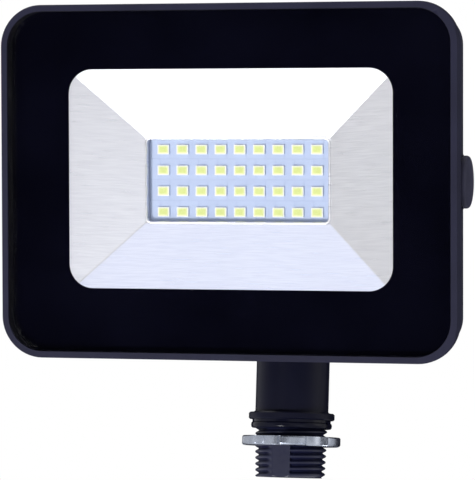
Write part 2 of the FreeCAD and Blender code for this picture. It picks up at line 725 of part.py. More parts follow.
def arm_screws():
    screws = []
    length = ARM_PLATE_THICKNESS + ARM_SEAL + ARM_SCREW_BITE
    for x, z in arm_holes():
        piece = screw(ARM_SCREW_HEAD_RADIUS, ARM_SCREW_HEAD_HEIGHT, ARM_SCREW_RADIUS, length)
        piece.rotate(ORIGIN, Z_AXIS, 180)
        screws.append(piece.translated(vector(x, ARM_PLATE_BACK, z)))
    return Part.makeCompound(screws)


def tooth_grooves(face_x, y, z, outward, phase):
    """Radial V grooves in a disc face whose outward direction is +X or -X."""
    lift = TOOTH_DEPTH / 2
    sections = []
    for radius in (WIREWAY_RADIUS + TOOTH_LAND, DISC_RADIUS + TOOTH_LAND):
        half = TOOTH_FILL * math.pi * radius / TOOTH_COUNT
        depth = TOOTH_DEPTH * radius / DISC_RADIUS
        mouth = half * (depth + lift) / depth
        valley = vector(face_x - outward * depth, y, z + radius)
        left = vector(face_x + outward * lift, y - mouth, z + radius)
        right = vector(face_x + outward * lift, y + mouth, z + radius)
        sections.append(Part.makePolygon([valley, left, right, valley]))
    groove = Part.makeLoft(sections, True, True)
    grooves = []
    for index in range(TOOTH_COUNT):
        copy = groove.copy()
        copy.rotate(vector(face_x, y, z), X_AXIS, phase + index * 360 / TOOTH_COUNT)
        grooves.append(copy)
    return grooves


def rear_arm():
    """Cast arm: a screwed plate, a hollow neck and the left-hand toothed disc."""
    left = -ARM_WIDTH / 2
    right = ARM_WIDTH / 2
    base = plate(ARM_PLATE_WIDTH, ARM_PLATE_HEIGHT, ARM_PLATE_RADIUS, ARM_FRONT, ARM_PLATE_BACK, ARM_PLATE_Z)
    root_end = ARM_PLATE_BACK + ARM_ROOT_LENGTH
    wide = ARM_WIDTH + ARM_ROOT_SPREAD
    high = ARM_HEIGHT + ARM_ROOT_SPREAD
    root = Part.makeLoft([
        rounded_rectangle(wide, high, ARM_ROUND, ARM_PLATE_BACK, -PIVOT_DROP),
        rounded_rectangle(ARM_WIDTH, ARM_HEIGHT, ARM_ROUND, root_end, -PIVOT_DROP),
    ], True, True)
    neck = plate(ARM_WIDTH, ARM_HEIGHT, ARM_ROUND, ARM_PLATE_BACK, PIVOT_BACK, -PIVOT_DROP)
    disc = rod_x(DISC_RADIUS, PIVOT_BACK, -PIVOT_DROP, left, right)
    outer_edges = [edge for edge in disc.Edges if abs(edge.BoundBox.XMax - left) < 1e-6]
    disc = disc.makeChamfer(DISC_CHAMFER, outer_edges)
    holes = tooth_grooves(right, PIVOT_BACK, -PIVOT_DROP, 1, 0)
    holes.append(rod_x(WIREWAY_RADIUS, PIVOT_BACK, -PIVOT_DROP, right - WIREWAY_DEPTH, right + THROUGH))
    holes.append(rod_x(BOLT_RADIUS + RUNNING_PLAY, PIVOT_BACK, -PIVOT_DROP, left - THROUGH, right + THROUGH))
    pocket_flats = PIVOT_NUT_FLATS + 2 * SCREW_PLAY
    holes.append(hexagon_x(pocket_flats, PIVOT_BACK, -PIVOT_DROP, left - THROUGH, left + NUT_SINK))
    holes.append(rod_y(ARM_BORE, 0, -PIVOT_DROP, ARM_FRONT - THROUGH, PIVOT_BACK - BOLT_RADIUS - BODY_GAP))
    for x, z in arm_holes():
        holes.append(rod_y(ARM_SCREW_HOLE, x, z, ARM_FRONT - THROUGH, ARM_PLATE_BACK + THROUGH))
    return base.fuse([root, neck, disc]).cut(holes).removeSplitter()


def pivot_nut():
    """Plain nut in the arm's hexagonal pocket."""
    right = -ARM_WIDTH / 2 + NUT_SINK
    left = right - PIVOT_NUT_THICKNESS
    nut = hexagon_x(PIVOT_NUT_FLATS, PIVOT_BACK, -PIVOT_DROP, left, right)
    bore = rod_x(BOLT_RADIUS + RUNNING_PLAY, PIVOT_BACK, -PIVOT_DROP, left - THROUGH, right + THROUGH)
    return nut.cut(bore)


def stem_profile():
    """Half section of the stem, flange and neck, turned about Z."""
    edge = STEM_FLANGE_CHAMFER
    step = STEM_END_LENGTH + STEM_END_STEP - STEM_LENGTH
    points = [
        vector(0, 0, -STEM_LENGTH),
        vector(STEM_END_RADIUS - STEM_CHAMFER, 0, -STEM_LENGTH),
        vector(STEM_END_RADIUS, 0, STEM_CHAMFER - STEM_LENGTH),
        vector(STEM_END_RADIUS, 0, STEM_END_LENGTH - STEM_LENGTH),
        vector(STEM_RADIUS, 0, step),
        vector(STEM_RADIUS, 0, 0),
        vector(STEM_FLANGE_RADIUS - edge, 0, 0),
        vector(STEM_FLANGE_RADIUS, 0, edge),
        vector(STEM_FLANGE_RADIUS, 0, STEM_FLANGE_THICKNESS - edge),
        vector(STEM_FLANGE_RADIUS - edge, 0, STEM_FLANGE_THICKNESS),
        vector(NECK_RADIUS + NECK_ROOT, 0, STEM_FLANGE_THICKNESS),
        vector(NECK_RADIUS, 0, STEM_FLANGE_THICKNESS + NECK_ROOT),
        vector(NECK_RADIUS, 0, SHOULDER),
        vector(0, 0, SHOULDER),
    ]
    return Part.Face(Part.makePolygon(points + points[:1]))


def teardrop():
    """Outline of the right-hand half knuckle: the joint disc drawn down to a tip on the neck."""
    rise = PIVOT_HEIGHT - NECK_TIP_HEIGHT
    lean = math.asin((DISC_RADIUS - NECK_TIP_RADIUS) / rise)
    side_y = math.cos(lean)
    side_z = -math.sin(lean)
    top = vector(BASE_LEFT, 0, PIVOT_HEIGHT)
    tip = vector(BASE_LEFT, 0, NECK_TIP_HEIGHT)
    top_right = top + vector(0, DISC_RADIUS * side_y, DISC_RADIUS * side_z)
    top_left = top + vector(0, -DISC_RADIUS * side_y, DISC_RADIUS * side_z)
    tip_right = tip + vector(0, NECK_TIP_RADIUS * side_y, NECK_TIP_RADIUS * side_z)
    tip_left = tip + vector(0, -NECK_TIP_RADIUS * side_y, NECK_TIP_RADIUS * side_z)
    edges = [
        Part.Arc(top_right, top + vector(0, 0, DISC_RADIUS), top_left).toShape(),
        Part.makeLine(top_left, tip_left),
        Part.Arc(tip_left, tip - vector(0, 0, NECK_TIP_RADIUS), tip_right).toShape(),
        Part.makeLine(tip_right, top_right),
    ]
    return Part.Face(Part.Wire(edges))


def base_knuckle():
    """Cast stem, flange and neck with the right-hand toothed disc."""
    stem = stem_profile().revolve(ORIGIN, Z_AXIS, 360)
    half = teardrop().extrude(vector(NECK_RADIUS - BASE_LEFT, 0, 0))
    outer_edges = [edge for edge in half.Edges if abs(edge.BoundBox.XMin - NECK_RADIUS) < 1e-6]
    half = half.makeChamfer(DISC_CHAMFER, outer_edges)
    holes = tooth_grooves(BASE_LEFT, 0, PIVOT_HEIGHT, -1, HEAD_TILT + 180 / TOOTH_COUNT)
    holes.append(rod_x(WIREWAY_RADIUS, 0, PIVOT_HEIGHT, BASE_LEFT - THROUGH, BASE_LEFT + WIREWAY_DEPTH))
    holes.append(rod_x(BOLT_RADIUS + SCREW_PLAY, 0, PIVOT_HEIGHT, BASE_LEFT - THROUGH, NECK_RADIUS + THROUGH))
    holes.append(rod_z(STEM_BORE, 0, 0, -STEM_LENGTH - THROUGH, STEM_BORE_ABOVE))
    holes.append(rod_z(FEED_RADIUS, FEED_RADIUS, 0, STEM_BORE_ABOVE - THROUGH, PIVOT_HEIGHT - BOLT_RADIUS))
    flat = STEM_RADIUS - STEM_FLAT_DEPTH
    for side in (-1, 1):
        near = side * flat
        far = side * (STEM_RADIUS + THROUGH)
        low = -STEM_LENGTH - THROUGH
        holes.append(block(-STEM_RADIUS, STEM_RADIUS, min(near, far), max(near, far), low, 0))
    return stem.fuse(half).cut(holes).removeSplitter()


def pivot_bolt():
    """Hexagon bolt from the right, through both discs and the nut."""
    seat = NECK_RADIUS + WASHER_THICKNESS
    end = ARM_LEFT + NUT_SINK - PIVOT_NUT_THICKNESS - BOLT_TAIL
    head = hexagon_x(BOLT_HEAD_FLATS, 0, PIVOT_HEIGHT, seat, seat + BOLT_HEAD_HEIGHT)
    return head.fuse(rod_x(BOLT_RADIUS, 0, PIVOT_HEIGHT, end, seat)).removeSplitter()


def pivot_washer():
    ring = rod_x(WASHER_RADIUS, 0, PIVOT_HEIGHT, NECK_RADIUS, NECK_RADIUS + WASHER_THICKNESS)
    return ring.cut(rod_x(BOLT_RADIUS + SCREW_PLAY, 0, PIVOT_HEIGHT, 0, NECK_RADIUS + THROUGH))


def stem_seal():
    """Rubber ring round the stem, under the flange."""
    inner = STEM_RADIUS + RUNNING_PLAY
    ring = rod_z(inner + STEM_SEAL_WIDTH, 0, 0, -STEM_SEAL_THICKNESS, 0)
    outer_edges = [edge for edge in ring.Edges if edge.Curve.TypeId == "Part::GeomCircle"]
    ring = ring.makeChamfer(STEM_SEAL_CHAMFER, outer_edges)
    return ring.cut(rod_z(inner, 0, 0, -STEM_SEAL_THICKNESS - THROUGH, THROUGH))


def lock_nut():
    """Lugged conduit nut, with its edges chamfered by a turned blank."""
    top = -STEM_SEAL_THICKNESS - LOCK_NUT_GAP
    bottom = top - LOCK_NUT_THICKNESS

    def polar(radius, angle):
        return vector(radius * math.cos(math.radians(angle)), radius * math.sin(math.radians(angle)), bottom)

    def arc(radius, start, end):
        return Part.Arc(polar(radius, start), polar(radius, (start + end) / 2), polar(radius, end)).toShape()

    tip = LOCK_NUT_TIP_RADIUS
    root = LOCK_NUT_ROOT_RADIUS
    edges = []
    step = 360 / LUG_COUNT
    for index in range(LUG_COUNT):
        tip_start = LUG_PHASE + index * step - LUG_ANGLE / 2
        tip_end = tip_start + LUG_ANGLE
        root_start = tip_end + LUG_FLANK_ANGLE
        root_end = tip_start + step - LUG_FLANK_ANGLE
        edges.append(arc(tip, tip_start, tip_end))
        edges.append(Part.makeLine(polar(tip, tip_end), polar(root, root_start)))
        edges.append(arc(root, root_start, root_end))
        edges.append(Part.makeLine(polar(root, root_end), polar(tip, tip_start + step)))
    lugs = Part.Face(Part.Wire(edges)).extrude(vector(0, 0, LOCK_NUT_THICKNESS))
    blank = rod_z(tip, 0, 0, bottom, top)
    rims = [edge for edge in blank.Edges if edge.Curve.TypeId == "Part::GeomCircle"]
    blank = blank.makeChamfer(LOCK_NUT_CHAMFER, rims)
    bore = rod_z(STEM_RADIUS + RUNNING_PLAY, 0, 0, bottom - THROUGH, top + THROUGH)
    return lugs.common(blank).cut(bore)


def set_on_pivot(shape):
    """Carry a piece of the head from its own frame to its resting place on the knuckle."""
    placed = shape.translated(vector(-STEM_OFFSET, -PIVOT_BACK, PIVOT_DROP))
    placed.rotate(ORIGIN, X_AXIS, HEAD_TILT)
    return placed.translated(vector(0, 0, PIVOT_HEIGHT))


HEAD_PIECES = (
    housing, glass_pane, glass_border, glass_seal,
    reflector, reflector_screws,
    led_board, led_packages, led_phosphors, thermal_pad, board_screws,
    driver_chips, rectifier_bridge, fuse, varistor, input_terminal,
    photocell_lens, photocell_seal, photocell_sensor, photocell_nut, photocell_leads,
    wire_grommet, arm_seal, rear_arm, arm_screws, pivot_nut,
)
BASE_PIECES = (base_knuckle, pivot_bolt, pivot_washer, stem_seal, lock_nut)

os.makedirs("parts", exist_ok=True)
for make in HEAD_PIECES:
    set_on_pivot(make()).exportStep("parts/" + make.__name__ + ".step")
for make in BASE_PIECES:
    make().exportStep("parts/" + make.__name__ + ".step")
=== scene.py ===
import json
import math

import bmesh
import bpy
from mathutils import Matrix, Vector


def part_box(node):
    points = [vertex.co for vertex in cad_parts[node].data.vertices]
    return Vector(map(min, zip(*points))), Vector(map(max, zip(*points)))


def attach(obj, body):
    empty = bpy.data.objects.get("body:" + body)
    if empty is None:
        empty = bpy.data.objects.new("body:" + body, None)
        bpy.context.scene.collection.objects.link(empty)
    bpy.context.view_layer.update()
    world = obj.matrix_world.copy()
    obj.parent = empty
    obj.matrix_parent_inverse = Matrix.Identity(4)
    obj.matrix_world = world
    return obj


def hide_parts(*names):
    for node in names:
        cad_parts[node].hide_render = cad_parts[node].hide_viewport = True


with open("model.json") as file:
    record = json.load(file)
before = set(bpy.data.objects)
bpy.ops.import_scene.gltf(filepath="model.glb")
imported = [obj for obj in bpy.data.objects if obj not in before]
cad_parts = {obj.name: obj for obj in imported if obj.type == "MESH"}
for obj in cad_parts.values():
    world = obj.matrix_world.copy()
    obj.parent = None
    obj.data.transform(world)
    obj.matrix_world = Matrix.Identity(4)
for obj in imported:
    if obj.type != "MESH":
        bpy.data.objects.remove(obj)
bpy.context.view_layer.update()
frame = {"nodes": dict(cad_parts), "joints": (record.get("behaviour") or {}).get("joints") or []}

# Looks of the flood light: camera, studio, materials and the detailed pieces that stand for CAD nodes.
# Lengths are in metres. The head frame has its origin at the centre of the front face, X to the right,
# Y to the back and Z up, as the head is drawn before it is set on the pivot.

MM = 0.001
WELD = 0.002 * MM

# The head on its pivot
HEAD_TILT = math.radians(7.5)
PIVOT_OFFSET = Vector((-7.6, -53.6, 35.0)) * MM
TILT_JOINT = next(joint for joint in frame["joints"] if joint["name"] == "head_tilt")
HEAD_TO_ROW = (
    Matrix.Translation(TILT_JOINT["pos_m"]) @ Matrix.Rotation(HEAD_TILT, 4, "X") @ Matrix.Translation(PIVOT_OFFSET)
)
ROW_TO_HEAD = HEAD_TO_ROW.inverted()

# Camera, placed in the head frame
CAMERA_PLACE = Vector((230.7, -878.1, 21.6)) * MM
CAMERA_YAW = math.radians(14.5)
CAMERA_PITCH = math.radians(2.4)
CAMERA_ROLL = math.radians(-0.18)
CAMERA_NEAR = 0.05
CAMERA_FAR = 50.0
FOCAL_PIXELS = 3191.3
LONG_SIDE_PIXELS = 480
SENSOR = 36.0

# Studio. The front card's reach is a multiple of the camera's distance.
FLOOR_DROP = 0.9
FLOOR_SIZE = 12.0
FLOOR_GLOW = 0.45
FLOOR_GRID = 8
WORLD_LIGHT = 0.45
WORLD_TINT = (0.94, 0.96, 1.0, 1.0)
FRONT_CARD_REACH = 2.4
FRONT_CARD_WIDTH = 1.5
FRONT_CARD_HEIGHT = 1.2
BACK_CARD_DISTANCE = 0.8
BACK_CARD_WIDTH = 1.8
BACK_CARD_HEIGHT = 1.5

# Lamps: the frame of the place, the place, the power in watts, the size and the tint
WHITE = (1.0, 1.0, 1.0)
LAMPS = {
    "key": ("head", (-0.47, -1.40, -0.54), 16.8, 0.3, WHITE),
    "top": ("row", (-0.5, 0.2, 1.4), 7.0, 0.9, WHITE),
    "side": ("row", (0.9, -1.1, -0.45), 1.1, 0.5, (0.82, 0.86, 1.0)),
    "back": ("row", (0.1, 1.1, 0.9), 6.0, 0.9, WHITE),
    "right": ("row", (1.3, 0.1, 0.25), 1.2, 0.6, (1.0, 0.98, 0.9)),
    "sky": ("head", (-0.3, -1.0, 1.0), 1.25, 0.8, (0.45, 0.58, 1.0)),
}

# Moulded, cast and coated looks: the dark and light colour of soft patches, as screen values, then the size of the
# patches and the size and depth of the grain in mm, then the roughness, its spread and the gloss
GRAIN_STRENGTH = 0.5
MOTTLED_LOOKS = {
    "cast_powder_coat": ((28, 28, 46), (33, 33, 52), 12, 0.5, 0.015, 0.62, 0.05, 0.13),
    # neck_coat_painted_shade: a darker copy of the cast coat, painted shade on the knuckle's neck, flange and disc
    "neck_coat_painted_shade": ((12, 13, 29), (16, 17, 34), 12, 0.5, 0.015, 0.4, 0.05, 0.08),
    # thread_coat_painted_shade: a darker, bluer and glossier copy of the cast coat on the stem, its darker colour
    # painted shade
    "thread_coat_painted_shade": ((22, 24, 48), (27, 29, 54), 12, 0.5, 0.015, 0.33, 0.05, 0.28),
    "border_ink": ((4, 4, 12), (8, 8, 19), 25, 0.3, 0.002, 0.6, 0.08, 0.0),
    "led_body": ((238, 240, 244), (247, 248, 250), 2, 0.1, 0.003, 0.4, 0.08, 0.5),
    "seal_rubber": ((12, 13, 27), (16, 17, 32), 4, 0.3, 0.004, 0.2, 0.03, 0.1),
    "lens_plastic": ((44, 44, 63), (52, 51, 71), 5, 0.25, 0.006, 0.55, 0.08, 0.2),
    "silicone": ((12, 12, 18), (18, 18, 24), 6, 0.4, 0.01, 0.6, 0.08, 0.1),
    # silicone_painted_light: a lighter copy of the black silicone for the photocell's seal, painted light over the
    # dark line at the cap's seat
    "silicone_painted_light": ((42, 42, 56), (48, 48, 62), 6, 0.4, 0.01, 0.6, 0.08, 0.1),
    "gap_pad": ((186, 190, 196), (200, 203, 208), 5, 0.3, 0.02, 0.8, 0.08, 0.5),
    "chip_plastic": ((40, 40, 42), (52, 52, 54), 2, 0.1, 0.01, 0.6, 0.08, 0.5),
    "fuse_body": ((140, 115, 90), (158, 132, 104), 2, 0.15, 0.01, 0.5, 0.08, 0.5),
    "varistor_coat": ((56, 104, 178), (70, 120, 196), 3, 0.2, 0.015, 0.4, 0.08, 0.5),
    "terminal_plastic": ((224, 224, 220), (236, 236, 233), 4, 0.2, 0.01, 0.5, 0.08, 0.5),
    "sensor_resin": ((184, 138, 92), (202, 158, 114), 1, 0.1, 0.01, 0.4, 0.08, 0.5),
    "nut_plastic": ((58, 58, 60), (72, 72, 74), 3, 0.2, 0.01, 0.5, 0.08, 0.5),
    "lead_sheath": ((216, 216, 212), (230, 230, 227), 3, 0.2, 0.01, 0.5, 0.08, 0.5),
    "card": ((20, 20, 30), (40, 40, 56), 300, 20, 1, 0.9, 0.08, 0.0),
    "floor": ((240, 240, 242), (244, 244, 245), 500, 10, 0.2, 0.7, 0.08, 0.5),
}
GLASS_GLOSS = 0.02
GLASS_GRAZING_GLOSS = 0.9

# Threaded stem. The profile runs over one pitch, with 1 at the crest and 0 at the root.
THREAD_PITCH = 1.814 * MM
THREAD_DEPTH = 1.1 * MM
THREAD_RADIUS = 10.95 * MM
THREAD_TAPER = 1 / 32
THREAD_PROFILE = (1, 0.93, 0.62, 0.24, 0, 0.24, 0.62, 0.93)
THREAD_COLUMNS = 96
THREAD_START = 0.5 * MM
STEM_RADIUS = 10.75 * MM
STEM_CUT = -0.3 * MM
STEM_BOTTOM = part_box("base_knuckle")[0].z
STEM_END_CHAMFER = 0.25 * MM
STEM_BORE = 6.5 * MM
FLAT_HALF = math.radians(15.3)
FLAT_EDGE = math.radians(0.6)
FLAT_TURN = math.radians(-2.4)
FLAT_FADE = math.radians(16.0)
FLAT_TOP = (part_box("lock_nut")[0].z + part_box("lock_nut")[1].z) / 2

# Rubber seal under the flange
SEAL_PLAY = 0.08 * MM
SEAL_NECK = 0.75 * MM
SEAL_NECK_INSET = 0.4 * MM
SEAL_CORNER = 0.55 * MM
SEAL_BULGE = 0.08 * MM
SEAL_SEGMENTS = 96
ARC_STEPS = 6

# Lock nut and pivot bolt: the rounding of their edges, and where it starts
NUT_INSIDE = 12.0 * MM
NUT_LOWER_SHARE = 0.3
NUT_LOWER_EDGE = 0.3 * MM
NUT_UPPER_EDGE = 0.12 * MM
BOLT_EDGE = 0.5 * MM
BOLT_END_PLAY = 0.01 * MM

# Rim of the housing, with the slope of its edge on the photocell's side
RIM_SIDE = 67.8 * MM
RIM_CORNER = 12.0 * MM
RIM_CHAMFER = 0.3 * MM
SIDE_SLOPE_WIDTH = 0.55 * MM
SIDE_SLOPE_DEPTH = 1.0 * MM
SIDE_SLOPE_POWER = 4
SLOPED_PAST_GLASS_X = 1.5 * MM
SLOPED_PAST_GLASS_Z = 1.0 * MM

# Depths through the head, from the front face back
LEDGE = 5.0 * MM
OPENING_DEPTH = 15.2 * MM
SKIRT_END = 17.0 * MM
BOARD_FRONT = 17.3 * MM
FLOOR_BACK = 22.7 * MM
ARM_PLATE_BACK = 29.5 * MM
ARM_SOFT_BACK = 40.0 * MM

# Rounded edges of the fins and the arm
FIN_EDGE = 0.3 * MM
FIN_START = 0.5 * MM
ARM_EDGE = 0.35 * MM
ARM_SHORTEST_EDGE = 0.3 * MM

# Front glass and the silicone bead round it
GLASS_WIDTH = 130.0 * MM
GLASS_HEIGHT = 97.9 * MM
GLASS_RADIUS = 10.0 * MM
GLASS_FRONT = 0.3 * MM
GLASS_BACK = 4.27 * MM
GLASS_EDGE = 0.3 * MM
GLASS_STEPS = 8
BEAD_FRONT = 0.62 * MM
BEAD_SEAT = 4.42 * MM
BEAD_BACK = 4.98 * MM
BEAD_INSIDE = 0.02 * MM
BEAD_OUTSIDE = 0.13 * MM
CAVITY_WIDTH = 125.9 * MM
CAVITY_HEIGHT = 93.8 * MM
CAVITY_RADIUS = 7.95 * MM

# LED packages. The fill's rings run from its foot in the cup up to its crown, paler at the edge.
LED_COLUMNS = 9
LED_ROWS = 4
LED_PITCH_X = 5.74 * MM
LED_PITCH_Z = 6.06 * MM
LED_LENGTH = 3.5 * MM
LED_WIDTH = 2.8 * MM
LED_HEIGHT = 0.7 * MM
LED_CORNER = 0.12 * MM
LED_EDGE = 0.06 * MM
LED_STEPS = 2
CUP_LENGTH = 3.2 * MM
CUP_WIDTH = 2.54 * MM
CUP_CORNER = 0.35 * MM
CUP_DEPTH = 0.14 * MM
CUP_DRAFT = 0.2 * MM
FILL_FOOT = 0.9 * CUP_DEPTH
FILL_INSET = 0.25 * CUP_WIDTH
FILL_CROWN = 0.03 * MM
FILL_STEPS = 3
FILL_TONES = (0.0, 0.0, 0.55, 1.0)

# Reflector. The rolled edge of its opening is given as outsets and depths from that edge, in mm.
SHEET = 0.5 * MM
FLANGE_WIDTH = 108.7 * MM
FLANGE_HEIGHT = 76.6 * MM
FLANGE_RADIUS = 4.0 * MM
MOUTH_WIDTH = 98.2 * MM
MOUTH_HEIGHT = 65.8 * MM
MOUTH_FOLD = 0.4 * MM
MOUTH_FOLD_DEPTH = 0.2 * MM
OPENING_WIDTH = 53.9 * MM
OPENING_HEIGHT = 23.7 * MM
OPENING_X = -0.3 * MM
OPENING_Z = 0.15 * MM
OPENING_CORNER = 1.1 * MM
ROLLED_EDGE = ((0.80, -0.325), (0.66, -0.47), (0.45, -0.53), (0.20, -0.45), (0.04, -0.20), (0.0, 0.15))
FOLD_CORNER = 0.4 * MM
CREASE_END = 0.36 * MM
EAR_DROP = 4.0 * MM
EAR_WIDTH = 9.0 * MM
EAR_LENGTH = 7.0 * MM
EAR_INSET = 8.0 * MM

# Photocell cap, with depths from its crown back
CAP_BARREL = 3.5 * MM
CAP_BORE = 2.8 * MM
CAP_SEAT = 2.25 * MM
CAP_WINDOW = 1.6 * MM
CAP_CROWN = 0.6 * MM
CAP_CORNER = 0.9 * MM
CAP_CORNER_END = 84
CAP_CROWN_SHARES = (0.85, 0.65, 0.45, 0.25)
CAP_FOOT_EDGE = 0.2 * MM
CAP_SEGMENTS = 72

# Cap screws of the arm
SCREW_X = 12.4 * MM
SCREW_Z = -33.0 * MM
SCREW_HEAD_RADIUS = 3.5 * MM
SCREW_HEAD_HEIGHT = 2.6 * MM
SCREW_HEAD_EDGE = 0.35 * MM
SCREW_SHANK = 1.95 * MM
SCREW_LENGTH = 9.0 * MM
SCREW_SEGMENTS = 48
SOCKET_FLATS = 3.0 * MM
SOCKET_DEPTH = 1.7 * MM
SOCKET_EDGE = 0.15 * MM


def colour(red, green, blue):
    """Linear colour from the 0 to 255 values of a screen."""
    channels = []
    for value in (red, green, blue):
        share = value / 255
        channels.append(share / 12.92 if share <= 0.04045 else ((share + 0.055) / 1.055) ** 2.4)
    return (*channels, 1.0)


# Camera

def add_camera():
    cos_yaw, sin_yaw = math.cos(CAMERA_YAW), math.sin(CAMERA_YAW)
    cos_pitch, sin_pitch = math.cos(CAMERA_PITCH), math.sin(CAMERA_PITCH)
    forward = Vector((-sin_yaw * cos_pitch, cos_yaw * cos_pitch, -sin_pitch))
    right = Vector((cos_yaw, sin_yaw, 0))
    up = right.cross(forward)
    rolled_right = math.cos(CAMERA_ROLL) * right + math.sin(CAMERA_ROLL) * up
    rolled_up = math.cos(CAMERA_ROLL) * up - math.sin(CAMERA_ROLL) * right
    turn = Matrix((rolled_right, rolled_up, -forward)).transposed().to_4x4()
    data = bpy.data.cameras.new("camera")
    data.sensor_width = SENSOR
    data.sensor_fit = "AUTO"
    data.lens = SENSOR * FOCAL_PIXELS / LONG_SIDE_PIXELS
    data.clip_start = CAMERA_NEAR
    data.clip_end = CAMERA_FAR
    camera = bpy.data.objects.new("camera", data)
    camera.matrix_world = HEAD_TO_ROW @ Matrix.Translation(CAMERA_PLACE) @ turn
    bpy.context.scene.collection.objects.link(camera)
    bpy.context.scene.camera = camera


# Materials

def new_material(name):
    """Material with a Principled shader, as its node tree and that shader."""
    material = bpy.data.materials.new(name)
    material.use_nodes = True
    tree = material.node_tree
    shader = tree.nodes["Principled BSDF"]
    return material, tree, shader


def set_shader(shader, **values):
    """Constant values on the shader's own sockets, by names with underscores."""
    for name, value in values.items():
        shader.inputs[name.replace("_", " ")].default_value = value


def texture_place(tree, stretch=(1, 1, 1), turn=(0, 0, 0)):
    """Object coordinates, stretched and turned."""
    source = tree.nodes.new("ShaderNodeTexCoord")
    mapping = tree.nodes.new("ShaderNodeMapping")
    mapping.inputs["Scale"].default_value = stretch
    mapping.inputs["Rotation"].default_value = turn
    tree.links.new(source.outputs["Object"], mapping.inputs["Vector"])
    return mapping.outputs["Vector"]


def noise(tree, size, stretch=(1, 1, 1), detail=2.0, turn=(0, 0, 0)):
    """Noise whose blobs are about one size across."""
    node = tree.nodes.new("ShaderNodeTexNoise")
    node.inputs["Scale"].default_value = 1 / size
    node.inputs["Detail"].default_value = detail
    tree.links.new(texture_place(tree, stretch, turn), node.inputs["Vector"])
    return node.outputs["Fac"]


def remap(tree, value, low, high, from_low=0.3, from_high=0.7):
    """A value's range set to another one. Noise lies mostly within the range that is taken as given."""
    node = tree.nodes.new("ShaderNodeMapRange")
    node.inputs["From Min"].default_value = from_low
    node.inputs["From Max"].default_value = from_high
    node.inputs["To Min"].default_value = low
    node.inputs["To Max"].default_value = high
    tree.links.new(value, node.inputs["Value"])
    return node.outputs["Result"]


def mix_colours(tree, factor, first, second):
    """Mix of two colours, each a constant or a socket."""
    node = tree.nodes.new("ShaderNodeMix")
    node.data_type = "RGBA"
    tree.links.new(factor, node.inputs["Factor"])
    for socket, value in (("A", first), ("B", second)):
        target = next(s for s in node.inputs if s.name == socket and s.type == "RGBA")
        if isinstance(value, tuple):
            target.default_value = value
        else:
            tree.links.new(value, target)
    return next(s for s in node.outputs if s.type == "RGBA")


def add_bump(tree, shader, height, strength, depth):
    node = tree.nodes.new("ShaderNodeBump")
    node.inputs["Strength"].default_value = strength
    node.inputs["Distance"].default_value = depth
    tree.links.new(height, node.inputs["Height"])
    tree.links.new(node.outputs["Normal"], shader.inputs["Normal"])


def seen_directly(tree):
    """One for camera, glossy and transmission rays, zero for the others."""
    path = tree.nodes.new("ShaderNodeLightPath")
    shown = path.outputs["Is Camera Ray"]
    for name in ("Is Glossy Ray", "Is Transmission Ray"):
        either = tree.nodes.new("ShaderNodeMath")
        either.operation = "MAXIMUM"
        tree.links.new(shown, either.inputs[0])
        tree.links.new(path.outputs[name], either.inputs[1])
        shown = either.outputs["Value"]
    return shown


def mottled(name):
    """Moulded, cast or coated surface from the table: soft colour patches over a fine grain."""
    dark, light, patch, grain, grain_depth, roughness, spread, gloss = MOTTLED_LOOKS[name]
    material, tree, shader = new_material(name)
    patches = remap(tree, noise(tree, patch * MM), 0, 1)
    tree.links.new(mix_colours(tree, patches, colour(*dark), colour(*light)), shader.inputs["Base Color"])
    fine = noise(tree, grain * MM, detail=3.0)
    tree.links.new(remap(tree, fine, roughness - spread, roughness + spread), shader.inputs["Roughness"])
    add_bump(tree, shader, fine, GRAIN_STRENGTH, grain_depth * MM)
    set_shader(shader, Specular_IOR_Level=gloss)
    return material


def plated(name, dark, light, cloud, mark, stretch, detail, roughness, strength, depth):
    """Plated steel with soft clouds and fine marks that run one way."""
    material, tree, shader = new_material(name)
    clouds = remap(tree, noise(tree, cloud, detail=detail), 0, 1)
    tree.links.new(mix_colours(tree, clouds, colour(*dark), colour(*light)), shader.inputs["Base Color"])
    marks = noise(tree, mark, stretch=stretch, detail=detail)
    tree.links.new(remap(tree, marks, *roughness), shader.inputs["Roughness"])
    add_bump(tree, shader, marks, strength, depth)
    set_shader(shader, Metallic=1.0)
    return material


def window_glass():
    """Clear plain glass: what is behind it shows without a shift, under a mirror gloss."""
    material, tree, shader = new_material("window_glass")
    set_shader(shader, Base_Color=(1, 1, 1, 1), Metallic=1.0)
    smears = remap(tree, noise(tree, size=30 * MM), low=0.0, high=0.03)
    tree.links.new(smears, shader.inputs["Roughness"])
    clear = tree.nodes.new("ShaderNodeBsdfTransparent")
    slant = tree.nodes.new("ShaderNodeLayerWeight")
    slant.inputs["Blend"].default_value = 0.5
    grazing = tree.nodes.new("ShaderNodeMath")
    grazing.operation = "POWER"
    grazing.inputs[1].default_value = 5
    tree.links.new(slant.outputs["Facing"], grazing.inputs[0])
    gloss = remap(tree, grazing.outputs["Value"], GLASS_GLOSS, GLASS_GRAZING_GLOSS, from_low=0, from_high=1)
    mix = tree.nodes.new("ShaderNodeMixShader")
    tree.links.new(gloss, mix.inputs["Fac"])
    tree.links.new(clear.outputs["BSDF"], mix.inputs[1])
    tree.links.new(shader.outputs["BSDF"], mix.inputs[2])
    tree.links.new(mix.outputs["Shader"], tree.nodes["Material Output"].inputs["Surface"])
    return material


